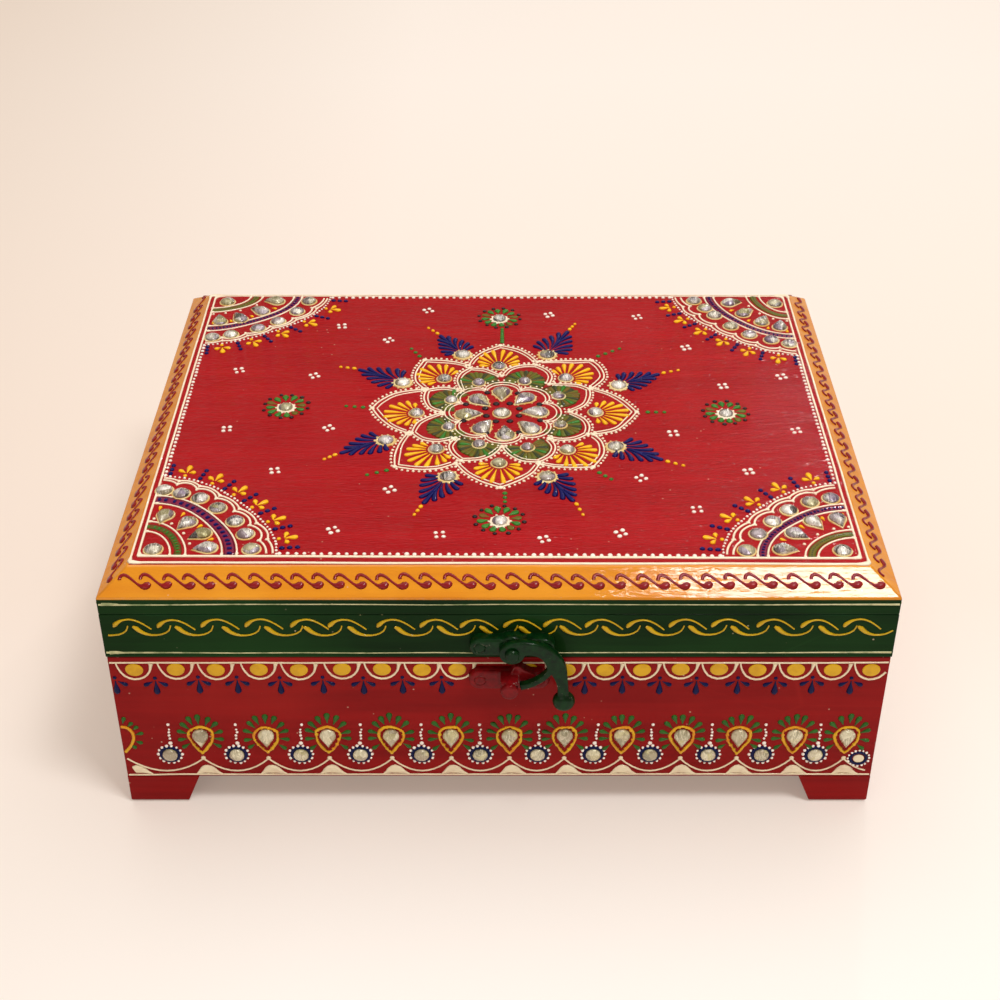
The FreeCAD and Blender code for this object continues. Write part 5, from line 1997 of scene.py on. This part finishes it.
    def base(
        self, side: Side, half: float, layers: dict[str, PaintLayer], drop_places: Sequence[float],
    ) -> None:
        """The swags between the drops, the cream hills and the bottom line.

        Args:
            side: Which wall.
            half: Half the wall's width.
            layers: The wall's layers.
            drop_places: Where its drop stones stand, from left to right.
        """
        edge = half - 0.6
        if side is Side.FRONT:
            line = [(-edge, 12.7), (-118.0, 12.75), (-108.0, 13.0)]
            line += [(-90.0 + 30 * i, self.base_line + HAND.uniform(-0.1, 0.1)) for i in range(8)]
            line.append((edge, self.base_line))
            layers["cream"].ribbon(line, 0.34, steps=3)
        else:
            layers["cream"].straight((-edge, self.base_line), (edge, self.base_line), 0.34)
        nodes = list(drop_places)
        pitch = (nodes[-1] - nodes[0]) / (len(nodes) - 1)
        nodes = [nodes[0] - pitch] + nodes + [nodes[-1] + pitch]
        if side is Side.FRONT:
            nodes[0] = self.first_hill - 2.2
        for a, b in zip(nodes, nodes[1:]):
            points = []
            for i in range(11):
                t = i / 10
                x = a + (b - a) * t
                if abs(x) < edge:
                    y = self.catenary_low + (self.node_height - self.catenary_low) * (2 * t - 1) ** 2
                    points.append((x, y, 0.34))
            if len(points) > 2:
                layers["cream"].strokes.append((points, False))
        for x in nodes[1:-1]:
            layers["cream"].dot(x, self.node_height + 0.3, 0.9)
        if side is Side.FRONT:
            nodes[0] = self.first_hill
        for x in nodes:
            if abs(x) < edge + 3:
                run = shifted(self.hill, x + 1.2 + HAND.uniform(-0.4, 0.4), self.base_line)
                run = [p for p in run if abs(p[0]) < edge - p[2]]
                if len(run) > 2:
                    layers["hills"].stroke(run, steps=2)

    def build(self) -> None:
        """Draw the four walls and make one piece for each paint."""
        for side in Side:
            self.draw(side)
        for key, finish in (
            ("cream", WALL_CREAM), ("yellow", WALL_YELLOW), ("orange", WALL_ORANGE), ("navy", WALL_NAVY),
            ("leaf", WALL_LEAF), ("white", WHITE), ("hills", WALL_CREAM),
        ):
            make_relief("wall_" + key + "_relief", self.layers[key], finish, Body.BOX)


# CAD nodes that stay


@dataclass
class Fittings:
    """The finishes of the stones, the latch, the hinges and the fasteners."""

    glass: FoiledGlass = FoiledGlass("foiled_glass")
    wall_glass: FoiledGlass = FoiledGlass("foiled_glass_walls", "E4DCBC", "9A9274", "CEC48E", "B0A088", 0.25)
    green: CastEnamel = CastEnamel("latch_green", "093211", "051C09", "A09888", wear=0.14)
    red: CastEnamel = CastEnamel("latch_red", "800B11", "620A0E", wear=0.1)
    steel: AgedMetal = AgedMetal("aged_steel", "9A9890", "5C5248")
    brass: AgedMetal = AgedMetal("aged_brass", "C49A4A", "7A5A2A")

    def build(self) -> None:
        """Dress every node that stays."""
        glass, wall_glass = self.glass.material(), self.wall_glass.material()
        green, red = self.green.material(), self.red.material()
        steel, brass = self.steel.material(), self.brass.material()
        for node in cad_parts:
            if node.endswith("_stones"):
                on_wall = node.split("_")[0] in ("front", "left", "right", "back")
                dress_node(node, wall_glass if on_wall else glass)
            elif node in ("latch_hook", "latch_plate", "latch_plate_nails", "latch_pivot_rivet"):
                dress_node(node, green)
            elif node in ("keeper_plate", "keeper_nails"):
                dress_node(node, red)
            elif node.startswith("hinge_"):
                dress_node(node, brass)
            elif node.endswith(("_pins", "_screws", "_nails")):
                dress_node(node, steel)


# Studio


@dataclass
class Studio:
    """The floor, the soft lights and the camera."""

    camera_place: tuple[float, float, float] = (0.000353, -0.507285, 0.409883)
    camera_pitch: float = 34.651
    lens: float = 59.445
    sensor: float = 36.0
    # Painted light and shade on the floor: whitest at the front, a little darker and warmer round the chest,
    # paler at the back, and darker to the left.
    floor_near: str = "FFFFFF"
    floor_middle_shade: str = "FCEFE6"
    floor_far: str = "FFFAF6"
    floor_left_shade: str = "E6D6C8"
    glow: str = "FFEEDD"
    glow_share: float = 0.24
    world_strength: float = 0.4

    def floor(self) -> None:
        """A wide, pale floor whose painted light fades from front to back, with painted shade on its left and
        a faint glow that only the eye sees.
        """
        bm = bmesh.new()
        bmesh.ops.create_grid(bm, x_segments=1, y_segments=1, size=6.0)
        mesh = bpy.data.meshes.new("studio_floor")
        bm.to_mesh(mesh)
        bm.free()
        g = Graph("studio_floor")
        split = g.node("ShaderNodeSeparateXYZ")
        g.feed(split.inputs[0], g.place)
        # Painted light and shade: the colour fades from front to back and is darker to the left.
        colour = g.mix(g.span(split.outputs[1], -0.2, 0.02), tone(self.floor_near), tone(self.floor_middle_shade))
        colour = g.mix(g.span(split.outputs[1], 0.15, 0.6), colour, tone(self.floor_far))
        colour = g.mix(g.span(split.outputs[0], -0.4, -0.06, 0.8, 0.0), colour, tone(self.floor_left_shade))
        rays = g.node("ShaderNodeLightPath")
        seen = rays.outputs["Is Camera Ray"]
        for kind in ("Is Glossy Ray", "Is Transmission Ray"):
            seen = g.math("MAXIMUM", seen, rays.outputs[kind])
        share = g.math("MULTIPLY", seen, self.glow_share)
        colour = g.mix(share, colour, tone("000000"))
        g.dress(base_color=colour, roughness=0.9, specular_ior_level=0.1, emission_color=tone(self.glow),
                emission_strength=share)
        mesh.materials.append(g.material)
        floor = bpy.data.objects.new("studio_floor", mesh)
        bpy.context.scene.collection.objects.link(floor)

    def world(self) -> None:
        """A plain, warm light from all round."""
        world = bpy.data.worlds.new("studio_world")
        world.use_nodes = True
        background = world.node_tree.nodes["Background"]
        background.inputs["Color"].default_value = tone("FFE9D4")
        background.inputs["Strength"].default_value = self.world_strength
        bpy.context.scene.world = world

    def lamp(
        self, name: str, place: Sequence[float], aim: Sequence[float], size: Point, power: float, colour: str,
    ) -> None:
        """One soft rectangular lamp.

        Args:
            name: Its name.
            place: Where it stands.
            aim: What it points at.
            size: Its width and height.
            power: Its power.
            colour: Its colour.
        """
        data = bpy.data.lights.new(name, "AREA")
        data.shape = "RECTANGLE"
        data.size, data.size_y = size
        data.energy = power
        data.color = tone(colour)[:3]
        lamp = bpy.data.objects.new(name, data)
        lamp.location = place
        lamp.rotation_euler = (Vector(aim) - Vector(place)).to_track_quat("-Z", "Y").to_euler()
        bpy.context.scene.collection.objects.link(lamp)

    def camera(self) -> None:
        """The camera where the photograph was taken from."""
        data = bpy.data.cameras.new("photo_camera")
        data.sensor_fit = "HORIZONTAL"
        data.sensor_width = self.sensor
        data.lens = self.lens
        data.clip_start = 0.01
        camera = bpy.data.objects.new("photo_camera", data)
        camera.location = self.camera_place
        camera.rotation_euler = (math.radians(90 - self.camera_pitch), 0, 0)
        bpy.context.scene.collection.objects.link(camera)
        bpy.context.scene.camera = camera

    def build(self) -> None:
        """Set up the studio."""
        self.floor()
        self.world()
        self.camera()
        self.lamp("key_softbox", (0.39, -0.45, 1.3), (0.0, 0.0, 0.05), (0.36, 0.36), 8.8, "FFFEFC")
        self.lamp("sky_softbox", (0.1, 0.9, 2.2), (0.0, 0.1, 0.0), (2.4, 1.8), 20.0, "FFFEFC")
        self.lamp("back_softbox", (0.4, 1.24, 0.83), (0.1, 0.0, 0.09), (0.06, 0.06), 1.4, "FFFFFF")
        self.lamp("fill_softbox", (-0.5, -1.3, 0.8), (0.0, 0.0, 0.05), (0.9, 0.7), 2.0, "FFFAF4")
        bpy.context.scene.view_settings.view_transform = "Standard"


def main() -> None:
    """Build the scene in order."""
    logging.basicConfig(level=logging.INFO, format="%(name)s: %(message)s")
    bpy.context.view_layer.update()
    Studio().build()
    chest = Chest()
    boards = Boards(chest)
    boards.build_body()
    boards.build_lid()
    LidOrnament(chest).build()
    LidScrolls(chest).build()
    WallOrnament(chest).build()
    Fittings().build()


if __name__ == "__main__":
    main()
